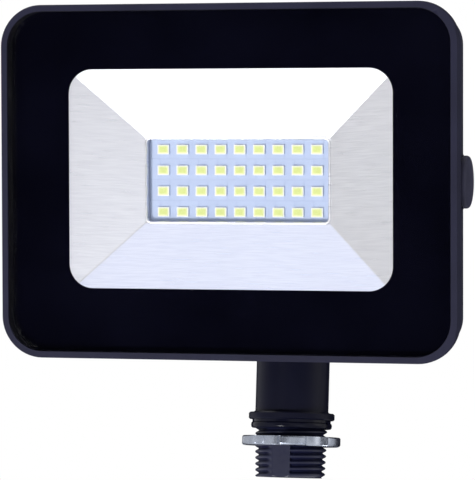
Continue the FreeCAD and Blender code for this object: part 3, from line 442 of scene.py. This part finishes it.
def brushed_sheet():
    """Bright rolled sheet with fine streaks across the head."""
    material, tree, shader = new_material("reflector_sheet")
    level = (-HEAD_TILT, 0, 0)
    streaks = noise(tree, size=0.35 * MM, stretch=(0.05, 0.05, 1), detail=4.0, turn=level)
    soft = noise(tree, size=20 * MM, stretch=(1, 1, 0.5), turn=level)
    tint = mix_colours(tree, remap(tree, soft, 0, 1), colour(221, 221, 225), colour(225, 225, 229))
    share = remap(tree, streaks, 0, 1, from_low=0.35, from_high=0.65)
    tree.links.new(mix_colours(tree, share, colour(213, 213, 218), tint), shader.inputs["Base Color"])
    tree.links.new(remap(tree, streaks, low=0.27, high=0.35), shader.inputs["Roughness"])
    add_bump(tree, shader, streaks, strength=0.3, depth=0.002 * MM)
    set_shader(shader, Metallic=1.0)
    return material


def board_mask():
    """White solder mask over copper areas, with pale track edges."""
    material, tree, shader = new_material("board_mask")
    tracks = tree.nodes.new("ShaderNodeTexBrick")
    for socket, value in (
        ("Scale", 1.0), ("Brick Width", LED_PITCH_X), ("Row Height", LED_PITCH_Z),
        ("Mortar Size", 0.18 * MM), ("Mortar Smooth", 0.3),
        ("Color1", colour(185, 199, 227)), ("Color2", colour(181, 195, 224)), ("Mortar", colour(173, 188, 219)),
    ):
        tracks.inputs[socket].default_value = value
    upright = texture_place(tree, turn=(-math.pi / 2 - HEAD_TILT, 0, 0))
    tree.links.new(upright, tracks.inputs["Vector"])
    soft = remap(tree, noise(tree, size=9 * MM), low=0, high=0.35)
    mask = mix_colours(tree, soft, tracks.outputs["Color"], colour(189, 202, 229))
    tree.links.new(mask, shader.inputs["Base Color"])
    fine = noise(tree, size=0.25 * MM)
    tree.links.new(remap(tree, fine, low=0.38, high=0.5), shader.inputs["Roughness"])
    add_bump(tree, shader, tracks.outputs["Fac"], strength=0.3, depth=-0.03 * MM)
    return material


def phosphor():
    """Yellow phosphor, paler where the fill thins out at its edge."""
    material, tree, shader = new_material("phosphor")
    tone = tree.nodes.new("ShaderNodeAttribute")
    tone.attribute_name = "tone"
    grains = remap(tree, noise(tree, size=0.5 * MM), 0, 1)
    yellow = mix_colours(tree, grains, colour(214, 224, 131), colour(221, 230, 147))
    toned = mix_colours(tree, tone.outputs["Fac"], colour(246, 248, 212), yellow)
    tree.links.new(toned, shader.inputs["Base Color"])
    fine = noise(tree, size=0.08 * MM)
    tree.links.new(remap(tree, fine, low=0.4, high=0.55), shader.inputs["Roughness"])
    add_bump(tree, shader, fine, strength=0.3, depth=0.004 * MM)
    return material


def pale_floor():
    """Pale floor, lifted towards white where the camera or a reflection sees it."""
    material = mottled("floor")
    tree = material.node_tree
    shader = tree.nodes["Principled BSDF"]
    set_shader(shader, Emission_Color=(1, 1, 1, 1))
    glow = remap(tree, seen_directly(tree), 0, FLOOR_GLOW, from_low=0, from_high=1)
    tree.links.new(glow, shader.inputs["Emission Strength"])
    return material


def make_materials():
    """All looks by name. The record's material slots have their own names here."""
    looks = {name: mottled(name) for name in MOTTLED_LOOKS if name != "floor"}
    looks["floor"] = pale_floor()
    looks["window_glass"] = window_glass()
    looks["reflector_sheet"] = brushed_sheet()
    looks["board_mask"] = board_mask()
    looks["phosphor"] = phosphor()
    looks["zinc_nut"] = plated(
        "zinc_nut", dark=(136, 142, 155), light=(170, 176, 189), cloud=3 * MM, mark=0.25 * MM,
        stretch=(1, 1, 0.2), detail=4.0, roughness=(0.22, 0.3), strength=0.15, depth=0.003 * MM)
    looks["screw_steel"] = plated(
        "screw_steel", dark=(150, 152, 156), light=(188, 190, 194), cloud=2 * MM, mark=0.2 * MM,
        stretch=(0.15, 1, 1), detail=3.0, roughness=(0.25, 0.45), strength=0.3, depth=0.005 * MM)
    return looks


# Mesh helpers

def solid_of(node):
    """Editable copy of a CAD node, welded and with its flat faces whole again."""
    mesh = bmesh.new()
    mesh.from_mesh(frame["nodes"][node].data)
    bmesh.ops.remove_doubles(mesh, verts=mesh.verts, dist=WELD)
    bmesh.ops.dissolve_limit(mesh, angle_limit=math.radians(0.5), verts=mesh.verts, edges=mesh.edges)
    return mesh


def cut_off(mesh, height, direction):
    """Cuts off what lies above a height, or below it where the direction is -1."""
    bmesh.ops.bisect_plane(
        mesh, geom=mesh.verts[:] + mesh.edges[:] + mesh.faces[:], dist=WELD, clear_outer=True,
        plane_co=(0, 0, height), plane_no=(0, 0, direction))


def soften(mesh, width, segments, wanted):
    """Rounds the edges that the test picks."""
    chosen = [edge for edge in mesh.edges if len(edge.link_faces) == 2 and wanted(edge)]
    bmesh.ops.bevel(
        mesh, geom=chosen, offset=width, offset_type="OFFSET", segments=segments, profile=0.5,
        affect="EDGES", clamp_overlap=False, miter_outer="ARC", loop_slide=True,
    )


def is_sharp(edge, degrees):
    return edge.calc_face_angle(0) > math.radians(degrees)


def middle(edge):
    return (edge.verts[0].co + edge.verts[1].co) / 2


def depth_of(edge):
    """Depth of an edge's middle in the head frame."""
    return (ROW_TO_HEAD @ middle(edge)).y


def open_edges(mesh):
    return [edge for edge in mesh.edges if edge.is_boundary]


def new_object(name, mesh):
    """Object in the scene, made from a mesh that is then let go."""
    data = bpy.data.meshes.new(name)
    mesh.to_mesh(data)
    mesh.free()
    thing = bpy.data.objects.new(name, data)
    bpy.context.scene.collection.objects.link(thing)
    return thing


def add_piece(name, mesh, body, slot, nodes, smooth=30, look=None):
    """Piece that rides on a body in the place of CAD nodes. Its look is the slot's, unless one is named.

    Edges over the smooth angle, in degrees, are shaded sharp.
    """
    bmesh.ops.recalc_face_normals(mesh, faces=mesh.faces)
    piece = new_object(name, mesh)
    piece.data.shade_smooth()
    piece.data.set_sharp_from_angle(angle=math.radians(smooth))
    weighted = piece.modifiers.new("weighted normals", "WEIGHTED_NORMAL")
    weighted.keep_sharp = True
    piece.data.materials.append(materials[look or slot])
    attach(piece, body)
    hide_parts(*nodes)


def lathe(profile, segments, matrix):
    """Closed ring or solid turned about Z from a closed list of radius and height pairs."""
    mesh = bmesh.new()
    rings = []
    for radius, height in profile:
        ring = []
        if radius < WELD:
            ring = [mesh.verts.new(matrix @ Vector((0, 0, height)))] * segments
        else:
            for index in range(segments):
                angle = 2 * math.pi * index / segments
                point = Vector((radius * math.cos(angle), radius * math.sin(angle), height))
                ring.append(mesh.verts.new(matrix @ point))
        rings.append(ring)
    for first, second in zip(rings, rings[1:] + rings[:1]):
        for index in range(segments):
            following = (index + 1) % segments
            corners = [first[index], first[following], second[following], second[index]]
            corners = list(dict.fromkeys(corners))
            if len(corners) > 2:
                mesh.faces.new(corners)
    return mesh


def arc(centre, radius, start, end):
    """Points of a profile along an arc, angles in degrees."""
    points = []
    for step in range(ARC_STEPS + 1):
        angle = math.radians(start + (end - start) * step / ARC_STEPS)
        points.append((centre[0] + radius * math.cos(angle), centre[1] + radius * math.sin(angle)))
    return points


def rounded_loop(width, height, radius, depth, x=0.0, z=0.0, steps=5):
    """Points of a rounded rectangle across the head at one depth, in the head frame."""
    points = []
    for quarter in range(4):
        side_x = (1, -1, -1, 1)[quarter]
        side_z = (1, 1, -1, -1)[quarter]
        centre_x = x + side_x * (width / 2 - radius)
        centre_z = z + side_z * (height / 2 - radius)
        for step in range(steps + 1):
            angle = math.pi / 2 * (quarter + step / steps)
            points.append(Vector((centre_x + radius * math.cos(angle), depth, centre_z + radius * math.sin(angle))))
    return points


def loft(mesh, loops, closed=False):
    """Skin over loops of the same count, closed into a ring or capped at both ends."""
    rings = [[mesh.verts.new(point) for point in loop] for loop in loops]
    following_rings = rings[1:] + rings[:1] if closed else rings[1:]
    for first, second in zip(rings, following_rings):
        for index in range(len(first)):
            after = (index + 1) % len(first)
            mesh.faces.new((first[index], first[after], second[after], second[index]))
    if not closed:
        mesh.faces.new(rings[0])
        mesh.faces.new(rings[-1])
    return rings


# Pieces of the base

def knuckle_body():
    """Cast neck, flange and disc. The stem below is the threaded piece."""
    mesh = solid_of("base_knuckle")
    cut_off(mesh, STEM_CUT, -1)
    bmesh.ops.triangle_fill(mesh, edges=open_edges(mesh), use_beauty=True)
    # The neck, flange and disc wear a darker copy of the cast coat: painted shade.
    add_piece("knuckle_body", mesh, "base", "cast_powder_coat", ["base_knuckle"], look="neck_coat_painted_shade")


def thread_angles():
    """Angles round the stem, doubled at the edges of the front and back flats."""
    angles = [2 * math.pi * index / THREAD_COLUMNS for index in range(THREAD_COLUMNS)]
    for side in (0.5, 1.5):
        for turn in (-FLAT_HALF, FLAT_HALF):
            edge = side * math.pi + FLAT_TURN + turn
            angles += [edge - FLAT_EDGE, edge + FLAT_EDGE]
    return sorted(angles)


def thread_radius(angle, height, share):
    """Radius of the tapered thread, with its end chamfer and the plain flats that it runs out into."""
    crest = min(THREAD_RADIUS + height * THREAD_TAPER, STEM_RADIUS)
    depth = THREAD_DEPTH * (1 - share)
    if height < FLAT_TOP:
        ahead = math.pi / 2 - FLAT_HALF - (angle - FLAT_TURN) % math.pi
        depth *= min(ahead / FLAT_FADE, 1) if ahead > 0 else 1
    radius = crest - depth
    facing = abs(math.sin(angle - FLAT_TURN))
    if facing > math.cos(FLAT_HALF) and height < FLAT_TOP:
        radius = crest * math.cos(FLAT_HALF) / facing
    end = THREAD_RADIUS + STEM_BOTTOM * THREAD_TAPER - STEM_END_CHAMFER + max(height - STEM_BOTTOM, 0)
    return min(radius, end)


def stem_thread():
    """Right-handed tapered pipe thread on a helical grid, closed by its two ends and its bore."""
    mesh = bmesh.new()
    per_turn = len(THREAD_PROFILE)
    step = THREAD_PITCH / per_turn
    top = STEM_CUT + THREAD_START
    rows = int((top - STEM_BOTTOM) / step) + per_turn + 2
    columns = []
    for angle in thread_angles():
        column = []
        for row in range(rows):
            height = top - row * step + THREAD_PITCH * angle / (2 * math.pi)
            radius = thread_radius(angle, height, THREAD_PROFILE[row % per_turn])
            column.append(mesh.verts.new((radius * math.cos(angle), radius * math.sin(angle), height)))
        columns.append(column)
    pairs = list(zip(columns, columns[1:])) + [(columns[-1][per_turn:], columns[0])]
    for column, following in pairs:
        for row in range(min(len(column), len(following)) - 1):
            mesh.faces.new((column[row], column[row + 1], following[row + 1], following[row]))
    cut_off(mesh, STEM_CUT, 1)
    cut_off(mesh, STEM_BOTTOM, -1)
    bmesh.ops.delete(mesh, geom=[v for v in mesh.verts if not v.link_faces], context="VERTS")
    grown = bmesh.ops.extrude_edge_only(mesh, edges=open_edges(mesh))["geom"]
    for vertex in (item for item in grown if isinstance(item, bmesh.types.BMVert)):
        scale = STEM_BORE / math.hypot(vertex.co.x, vertex.co.y)
        vertex.co.x *= scale
        vertex.co.y *= scale
    bmesh.ops.bridge_loops(mesh, edges=open_edges(mesh))
    # The stem wears a darker copy of the cast coat: painted shade.
    add_piece("stem_thread", mesh, "base", "cast_powder_coat", ["base_knuckle"], smooth=40, look="thread_coat_painted_shade")


def rubber_seal():
    """Rubber ring under the flange: a bulged, round-edged ring below a short neck."""
    low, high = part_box("stem_seal")
    outer = high.x
    inner = STEM_RADIUS + SEAL_PLAY
    neck = outer - SEAL_NECK_INSET
    side = outer - SEAL_BULGE
    corner = side - SEAL_CORNER
    ring_top = high.z - SEAL_NECK
    meets_neck = math.degrees(math.acos((neck - corner) / SEAL_CORNER))
    profile = [(inner, low.z)]
    profile += arc((corner, low.z + SEAL_CORNER), SEAL_CORNER, -90, 0)
    profile.append((outer, (low.z + ring_top) / 2))
    profile += arc((corner, ring_top - SEAL_CORNER), SEAL_CORNER, 0, meets_neck)
    profile += [(neck, high.z), (inner, high.z)]
    mesh = lathe(profile, SEAL_SEGMENTS, Matrix.Identity(4))
    add_piece("rubber_seal", mesh, "base", "seal_rubber", ["stem_seal"], smooth=50)


def lock_nut():
    """Lugged nut with rounded corners, more so below than above."""
    mesh = solid_of("lock_nut")
    low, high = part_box("lock_nut")
    lower = low.z + NUT_LOWER_SHARE * (high.z - low.z)

    def outside(edge):
        return is_sharp(edge, 25) and middle(edge).to_2d().length > NUT_INSIDE

    soften(mesh, NUT_LOWER_EDGE, 4, lambda edge: outside(edge) and middle(edge).z < lower)
    soften(mesh, NUT_UPPER_EDGE, 2, lambda edge: outside(edge) and middle(edge).z > lower)
    add_piece("lugged_nut", mesh, "lock_nut", "zinc_nut", ["lock_nut"])


def pivot_bolt():
    """Hexagon bolt with a rounded-off head."""
    mesh = solid_of("pivot_bolt")
    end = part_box("pivot_bolt")[1].x - BOLT_END_PLAY
    soften(mesh, BOLT_EDGE, 3, lambda edge: is_sharp(edge, 40) and middle(edge).x > end)
    add_piece("hexagon_bolt", mesh, "base", "screw_steel", ["pivot_bolt"])


# Pieces of the head

def slope_side_rim(mesh):
    """Slopes the rim's outer edge back on the photocell's side, where the lip is no wider than elsewhere."""
    for vertex in mesh.verts:
        point = ROW_TO_HEAD @ vertex.co
        share = (point.x - RIM_SIDE + RIM_CORNER) / RIM_CORNER
        past_side = point.x > GLASS_WIDTH / 2 + SLOPED_PAST_GLASS_X
        past_end = abs(point.z) > GLASS_HEIGHT / 2 + SLOPED_PAST_GLASS_Z
        if share <= 0 or not (past_side or past_end) or point.y > RIM_CHAMFER + WELD:
            continue
        share = min(share, 1) ** SIDE_SLOPE_POWER
        if point.y < WELD:
            point.x -= SIDE_SLOPE_WIDTH * share
        else:
            point.y += SIDE_SLOPE_DEPTH * share
        vertex.co = HEAD_TO_ROW @ point


def finned_housing():
    """Cast body with softened fin and pad edges, and its rim sloped on one side."""
    mesh = solid_of("housing")
    slope_side_rim(mesh)

    def at_back(edge):
        return edge.is_convex and is_sharp(edge, 50) and depth_of(edge) > FLOOR_BACK + FIN_START

    soften(mesh, FIN_EDGE, 2, at_back)
    add_piece("finned_housing", mesh, "head", "cast_powder_coat", ["housing"])


def toothed_arm():
    """Cast arm with softened edges ahead of its toothed disc."""
    mesh = solid_of("rear_arm")

    def on_outside(edge):
        long_enough = edge.calc_length() > ARM_SHORTEST_EDGE
        return edge.is_convex and is_sharp(edge, 60) and depth_of(edge) < ARM_SOFT_BACK and long_enough

    soften(mesh, ARM_EDGE, 2, on_outside)
    add_piece("toothed_arm", mesh, "head", "cast_powder_coat", ["rear_arm"])


def front_glass():
    """Glass pane with a small bevel, its back just clear of the printed border."""
    mesh = bmesh.new()
    inner_width = GLASS_WIDTH - 2 * GLASS_EDGE
    inner_height = GLASS_HEIGHT - 2 * GLASS_EDGE
    loft(mesh, [
        rounded_loop(inner_width, inner_height, GLASS_RADIUS - GLASS_EDGE, GLASS_FRONT, steps=GLASS_STEPS),
        rounded_loop(GLASS_WIDTH, GLASS_HEIGHT, GLASS_RADIUS, GLASS_FRONT + GLASS_EDGE, steps=GLASS_STEPS),
        rounded_loop(GLASS_WIDTH, GLASS_HEIGHT, GLASS_RADIUS, GLASS_BACK, steps=GLASS_STEPS),
    ])
    mesh.transform(HEAD_TO_ROW)
    add_piece("front_glass", mesh, "head", "window_glass", ["glass_pane"], smooth=20)


def glass_bead():
    """Black silicone round the edge of the glass and on the ledge behind its border."""
    def round_glass(outset, depth):
        width = GLASS_WIDTH + 2 * outset
        height = GLASS_HEIGHT + 2 * outset
        return rounded_loop(width, height, GLASS_RADIUS + outset, depth, steps=GLASS_STEPS)

    def round_cavity(depth):
        return rounded_loop(CAVITY_WIDTH, CAVITY_HEIGHT, CAVITY_RADIUS, depth, steps=GLASS_STEPS)

    mesh = bmesh.new()
    loft(mesh, [
        round_glass(BEAD_INSIDE, BEAD_FRONT),
        round_glass(BEAD_OUTSIDE, BEAD_FRONT),
        round_glass(BEAD_OUTSIDE, BEAD_BACK),
        round_cavity(BEAD_BACK),
        round_cavity(BEAD_SEAT),
        round_glass(BEAD_INSIDE, BEAD_SEAT),
    ], closed=True)
    mesh.transform(HEAD_TO_ROW)
    add_piece("glass_bead", mesh, "head", "silicone", ["glass_seal"])


def funnel_loops():
    """Section of the folded sheet, from the flange's edge down the funnel and skirt and back up behind."""
    slope_x = (MOUTH_WIDTH - OPENING_WIDTH) / 2
    slope_z = (MOUTH_HEIGHT - OPENING_HEIGHT) / 2
    fall = OPENING_DEPTH - LEDGE
    spread = SHEET * math.hypot(slope_x, fall) / fall

    def on_flange(depth):
        return rounded_loop(FLANGE_WIDTH, FLANGE_HEIGHT, FLANGE_RADIUS, depth)

    def on_slope(depth, outset=0.0):
        share = (OPENING_DEPTH - depth) / fall
        width = OPENING_WIDTH + 2 * (slope_x * share + outset)
        height = OPENING_HEIGHT + 2 * (slope_z * share + outset)
        x = OPENING_X * (1 - share)
        z = OPENING_Z * (1 - share)
        return rounded_loop(width, height, FOLD_CORNER + outset, depth, x, z)

    def in_skirt(depth, outset=0.0):
        width = OPENING_WIDTH + 2 * outset
        height = OPENING_HEIGHT + 2 * outset
        return rounded_loop(width, height, OPENING_CORNER + outset, depth, OPENING_X, OPENING_Z)

    mouth_width = MOUTH_WIDTH + 2 * MOUTH_FOLD
    mouth_height = MOUTH_HEIGHT + 2 * MOUTH_FOLD
    return [
        on_flange(LEDGE),
        rounded_loop(mouth_width, mouth_height, FOLD_CORNER, LEDGE),
        on_slope(LEDGE + MOUTH_FOLD_DEPTH),
        on_slope(OPENING_DEPTH - CREASE_END),
        *[in_skirt(OPENING_DEPTH + depth * MM, outset * MM) for outset, depth in ROLLED_EDGE],
        in_skirt(SKIRT_END),
        in_skirt(SKIRT_END, SHEET),
        in_skirt(OPENING_DEPTH + 2 * SHEET, SHEET),
        on_slope(OPENING_DEPTH, spread),
        on_slope(LEDGE + SHEET, spread),
        on_flange(LEDGE + SHEET),
    ]


def ear_section(side):
    """Outline of a stepped ear across the sheet, as places along X and in depth."""
    edge = side * FLANGE_WIDTH / 2
    inner = edge - side * SHEET
    tip = edge + side * EAR_LENGTH
    seat = LEDGE + EAR_DROP
    return [
        (inner, LEDGE), (edge, LEDGE), (edge, seat), (tip, seat), (tip, seat + SHEET), (inner, seat + SHEET),
    ]


def folded_reflector():
    """One sheet folded into a flange, a funnel and a skirt, with two stepped ears."""
    mesh = bmesh.new()
    loft(mesh, funnel_loops(), closed=True)
    for side in (-1, 1):
        middle_z = -side * (FLANGE_HEIGHT / 2 - EAR_INSET)
        loops = []
        for z in (middle_z - EAR_WIDTH / 2, middle_z + EAR_WIDTH / 2):
            loops.append([Vector((x, depth, z)) for x, depth in ear_section(side)])
        loft(mesh, loops)
    mesh.transform(HEAD_TO_ROW)
    add_piece("folded_reflector", mesh, "head", "reflector_sheet", ["reflector"], smooth=35)


def led_places():
    """Places of the packages on the board, along X and Z."""
    for row in range(LED_ROWS):
        for column in range(LED_COLUMNS):
            x = (column - (LED_COLUMNS - 1) / 2) * LED_PITCH_X
            z = (row - (LED_ROWS - 1) / 2) * LED_PITCH_Z
            yield x, z


def led_bodies():
    """White LED packages with rounded edges and an open cup."""
    mesh = bmesh.new()
    face = BOARD_FRONT - LED_HEIGHT
    for x, z in led_places():
        def body_loop(inset, depth):
            return rounded_loop(LED_LENGTH - inset, LED_WIDTH - inset, LED_CORNER, depth, x, z, LED_STEPS)

        def cup_loop(inset, depth):
            return rounded_loop(CUP_LENGTH - inset, CUP_WIDTH - inset, CUP_CORNER, depth, x, z, LED_STEPS)

        loft(mesh, [
            body_loop(0, BOARD_FRONT),
            body_loop(0, face + LED_EDGE),
            body_loop(2 * LED_EDGE, face),
            cup_loop(0, face),
            cup_loop(CUP_DRAFT, face + CUP_DEPTH),
        ])
    mesh.transform(HEAD_TO_ROW)
    add_piece("led_bodies", mesh, "head", "led_body", ["led_packages"])


def led_fills():
    """Phosphor fill of each cup, crowned in the middle and paler at its edge."""
    mesh = bmesh.new()
    tone = mesh.verts.layers.float.new("tone")
    face = BOARD_FRONT - LED_HEIGHT
    for x, z in led_places():
        def fill_loop(inset, depth):
            return rounded_loop(CUP_LENGTH - inset, CUP_WIDTH - inset, CUP_CORNER, depth, x, z, FILL_STEPS)

        rings = loft(mesh, [
            fill_loop(CUP_DRAFT, face + FILL_FOOT),
            fill_loop(LED_EDGE, face + LED_EDGE),
            fill_loop(FILL_INSET, face - FILL_CROWN / 2),
            fill_loop(2 * FILL_INSET, face - FILL_CROWN),
        ])
        for ring, value in zip(rings, FILL_TONES):
            for vertex in ring:
                vertex[tone] = value
    mesh.transform(HEAD_TO_ROW)
    add_piece("led_fills", mesh, "head", "phosphor", ["led_phosphors"], smooth=60)


def photocell_cap():
    """Round-edged smoked cap with its hollow barrel, turned about the cell's axis."""
    low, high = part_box("photocell_lens")
    centre = (low + high) / 2
    radius = (high.z - low.z) / 2
    seat = high.x - CAP_SEAT
    window = high.x - CAP_WINDOW
    inner = radius - CAP_CORNER
    profile = [(0, window), (CAP_BORE, window), (CAP_BORE, low.x), (CAP_BARREL, low.x), (CAP_BARREL, seat)]
    profile += [(radius - CAP_FOOT_EDGE, seat), (radius, seat + CAP_FOOT_EDGE)]
    profile += arc((inner, high.x - CAP_CROWN - CAP_CORNER), CAP_CORNER, 0, CAP_CORNER_END)
    profile += [(inner * share, high.x - CAP_CROWN * share ** 2) for share in CAP_CROWN_SHARES]
    profile.append((0, high.x))
    axis = Matrix.Translation((0, centre.y, centre.z)) @ Matrix.Rotation(math.pi / 2, 4, "Y")
    mesh = lathe(profile, CAP_SEGMENTS, axis)
    add_piece("photocell_cap", mesh, "head", "lens_plastic", ["photocell_lens"], smooth=40)


def socket_screws():
    """Cap screws of the arm, with a hexagon socket in a smooth head."""
    def hexagon(angle):
        turned = (angle + math.pi / 6) % (math.pi / 3) - math.pi / 6
        return SOCKET_FLATS / 2 / math.cos(turned)

    def circle(radius):
        return lambda angle: radius

    sections = [
        (circle(SCREW_SHANK), -SCREW_LENGTH),
        (circle(SCREW_SHANK), 0),
        (circle(SCREW_HEAD_RADIUS), 0),
        (circle(SCREW_HEAD_RADIUS), SCREW_HEAD_HEIGHT - SCREW_HEAD_EDGE),
        (circle(SCREW_HEAD_RADIUS - SCREW_HEAD_EDGE), SCREW_HEAD_HEIGHT),
        (lambda angle: hexagon(angle) + SOCKET_EDGE, SCREW_HEAD_HEIGHT),
        (hexagon, SCREW_HEAD_HEIGHT - SOCKET_EDGE),
        (hexagon, SCREW_HEAD_HEIGHT - SOCKET_DEPTH),
    ]
    angles = [2 * math.pi * index / SCREW_SEGMENTS for index in range(SCREW_SEGMENTS)]
    mesh = bmesh.new()
    for screw_x in (-SCREW_X, SCREW_X):
        loops = []
        for radius_at, height in sections:
            loop = []
            for angle in angles:
                x = screw_x + radius_at(angle) * math.cos(angle)
                z = SCREW_Z + radius_at(angle) * math.sin(angle)
                loop.append(Vector((x, ARM_PLATE_BACK + height, z)))
            loops.append(loop)
        loft(mesh, loops)
    mesh.transform(HEAD_TO_ROW)
    add_piece("socket_screws", mesh, "head", "screw_steel", ["arm_screws"])


# Studio

def add_world():
    """Soft ambient light that shows as plain white."""
    world = bpy.data.worlds.new("studio")
    bpy.context.scene.world = world
    world.use_nodes = True
    tree = world.node_tree
    ambient = tree.nodes["Background"]
    ambient.inputs["Color"].default_value = WORLD_TINT
    ambient.inputs["Strength"].default_value = WORLD_LIGHT
    white = tree.nodes.new("ShaderNodeBackground")
    white.inputs["Color"].default_value = (1, 1, 1, 1)
    white.inputs["Strength"].default_value = 1.0
    mix = tree.nodes.new("ShaderNodeMixShader")
    tree.links.new(seen_directly(tree), mix.inputs["Fac"])
    tree.links.new(ambient.outputs["Background"], mix.inputs[1])
    tree.links.new(white.outputs["Background"], mix.inputs[2])
    tree.links.new(mix.outputs["Shader"], tree.nodes["World Output"].inputs["Surface"])


def add_lamp(name, place_frame, place, power, size, tint):
    """Soft square lamp aimed at the light's head."""
    data = bpy.data.lights.new(name, "AREA")
    data.energy = power
    data.size = size
    data.color = tint
    lamp = bpy.data.objects.new(name, data)
    lamp.location = HEAD_TO_ROW @ Vector(place) if place_frame == "head" else place
    aim = HEAD_TO_ROW.translation - lamp.location
    lamp.rotation_mode = "QUATERNION"
    lamp.rotation_quaternion = aim.to_track_quat("-Z", "Y")
    bpy.context.scene.collection.objects.link(lamp)


def add_floor():
    mesh = bmesh.new()
    bmesh.ops.create_grid(mesh, x_segments=FLOOR_GRID, y_segments=FLOOR_GRID, size=FLOOR_SIZE / 2)
    floor = new_object("floor", mesh)
    floor.location.z = -FLOOR_DROP
    floor.data.materials.append(materials["floor"])


def add_card(name, place_in_head, width, height):
    """Dark card that only reflections see, facing the light."""
    mesh = bmesh.new()
    bmesh.ops.create_grid(mesh, x_segments=1, y_segments=1, size=0.5)
    card = new_object(name, mesh)
    facing = (-place_in_head).to_track_quat("Z", "Y").to_matrix().to_4x4()
    size = Matrix.Diagonal((width, height, 1, 1))
    card.matrix_world = HEAD_TO_ROW @ Matrix.Translation(place_in_head) @ facing @ size
    card.visible_camera = False
    card.visible_diffuse = False
    card.visible_transmission = False
    card.visible_shadow = False
    card.data.materials.append(materials["card"])


bpy.context.scene.view_settings.view_transform = "Standard"
add_camera()
add_world()
for lamp_name, lamp_values in LAMPS.items():
    add_lamp(lamp_name, *lamp_values)
materials = make_materials()
add_floor()
mirrored_camera = Vector((-CAMERA_PLACE.x, CAMERA_PLACE.y, -CAMERA_PLACE.z))
add_card("front_card", mirrored_camera * FRONT_CARD_REACH, FRONT_CARD_WIDTH, FRONT_CARD_HEIGHT)
add_card("back_card", Vector((0, BACK_CARD_DISTANCE, 0)), BACK_CARD_WIDTH, BACK_CARD_HEIGHT)

for node in frame["nodes"].values():
    for material_slot in node.material_slots:
        material_slot.material = materials[material_slot.material.name.split(".")[0]]
# The photocell's seal takes a lighter copy of the silicone: painted light over the dark line at the cap's seat.
frame["nodes"]["photocell_seal"].material_slots[0].material = materials["silicone_painted_light"]

for build in (
    knuckle_body, stem_thread, rubber_seal, lock_nut, pivot_bolt,
    finned_housing, front_glass, glass_bead, folded_reflector, led_bodies, led_fills,
    photocell_cap, toothed_arm, socket_screws,
):
    build()
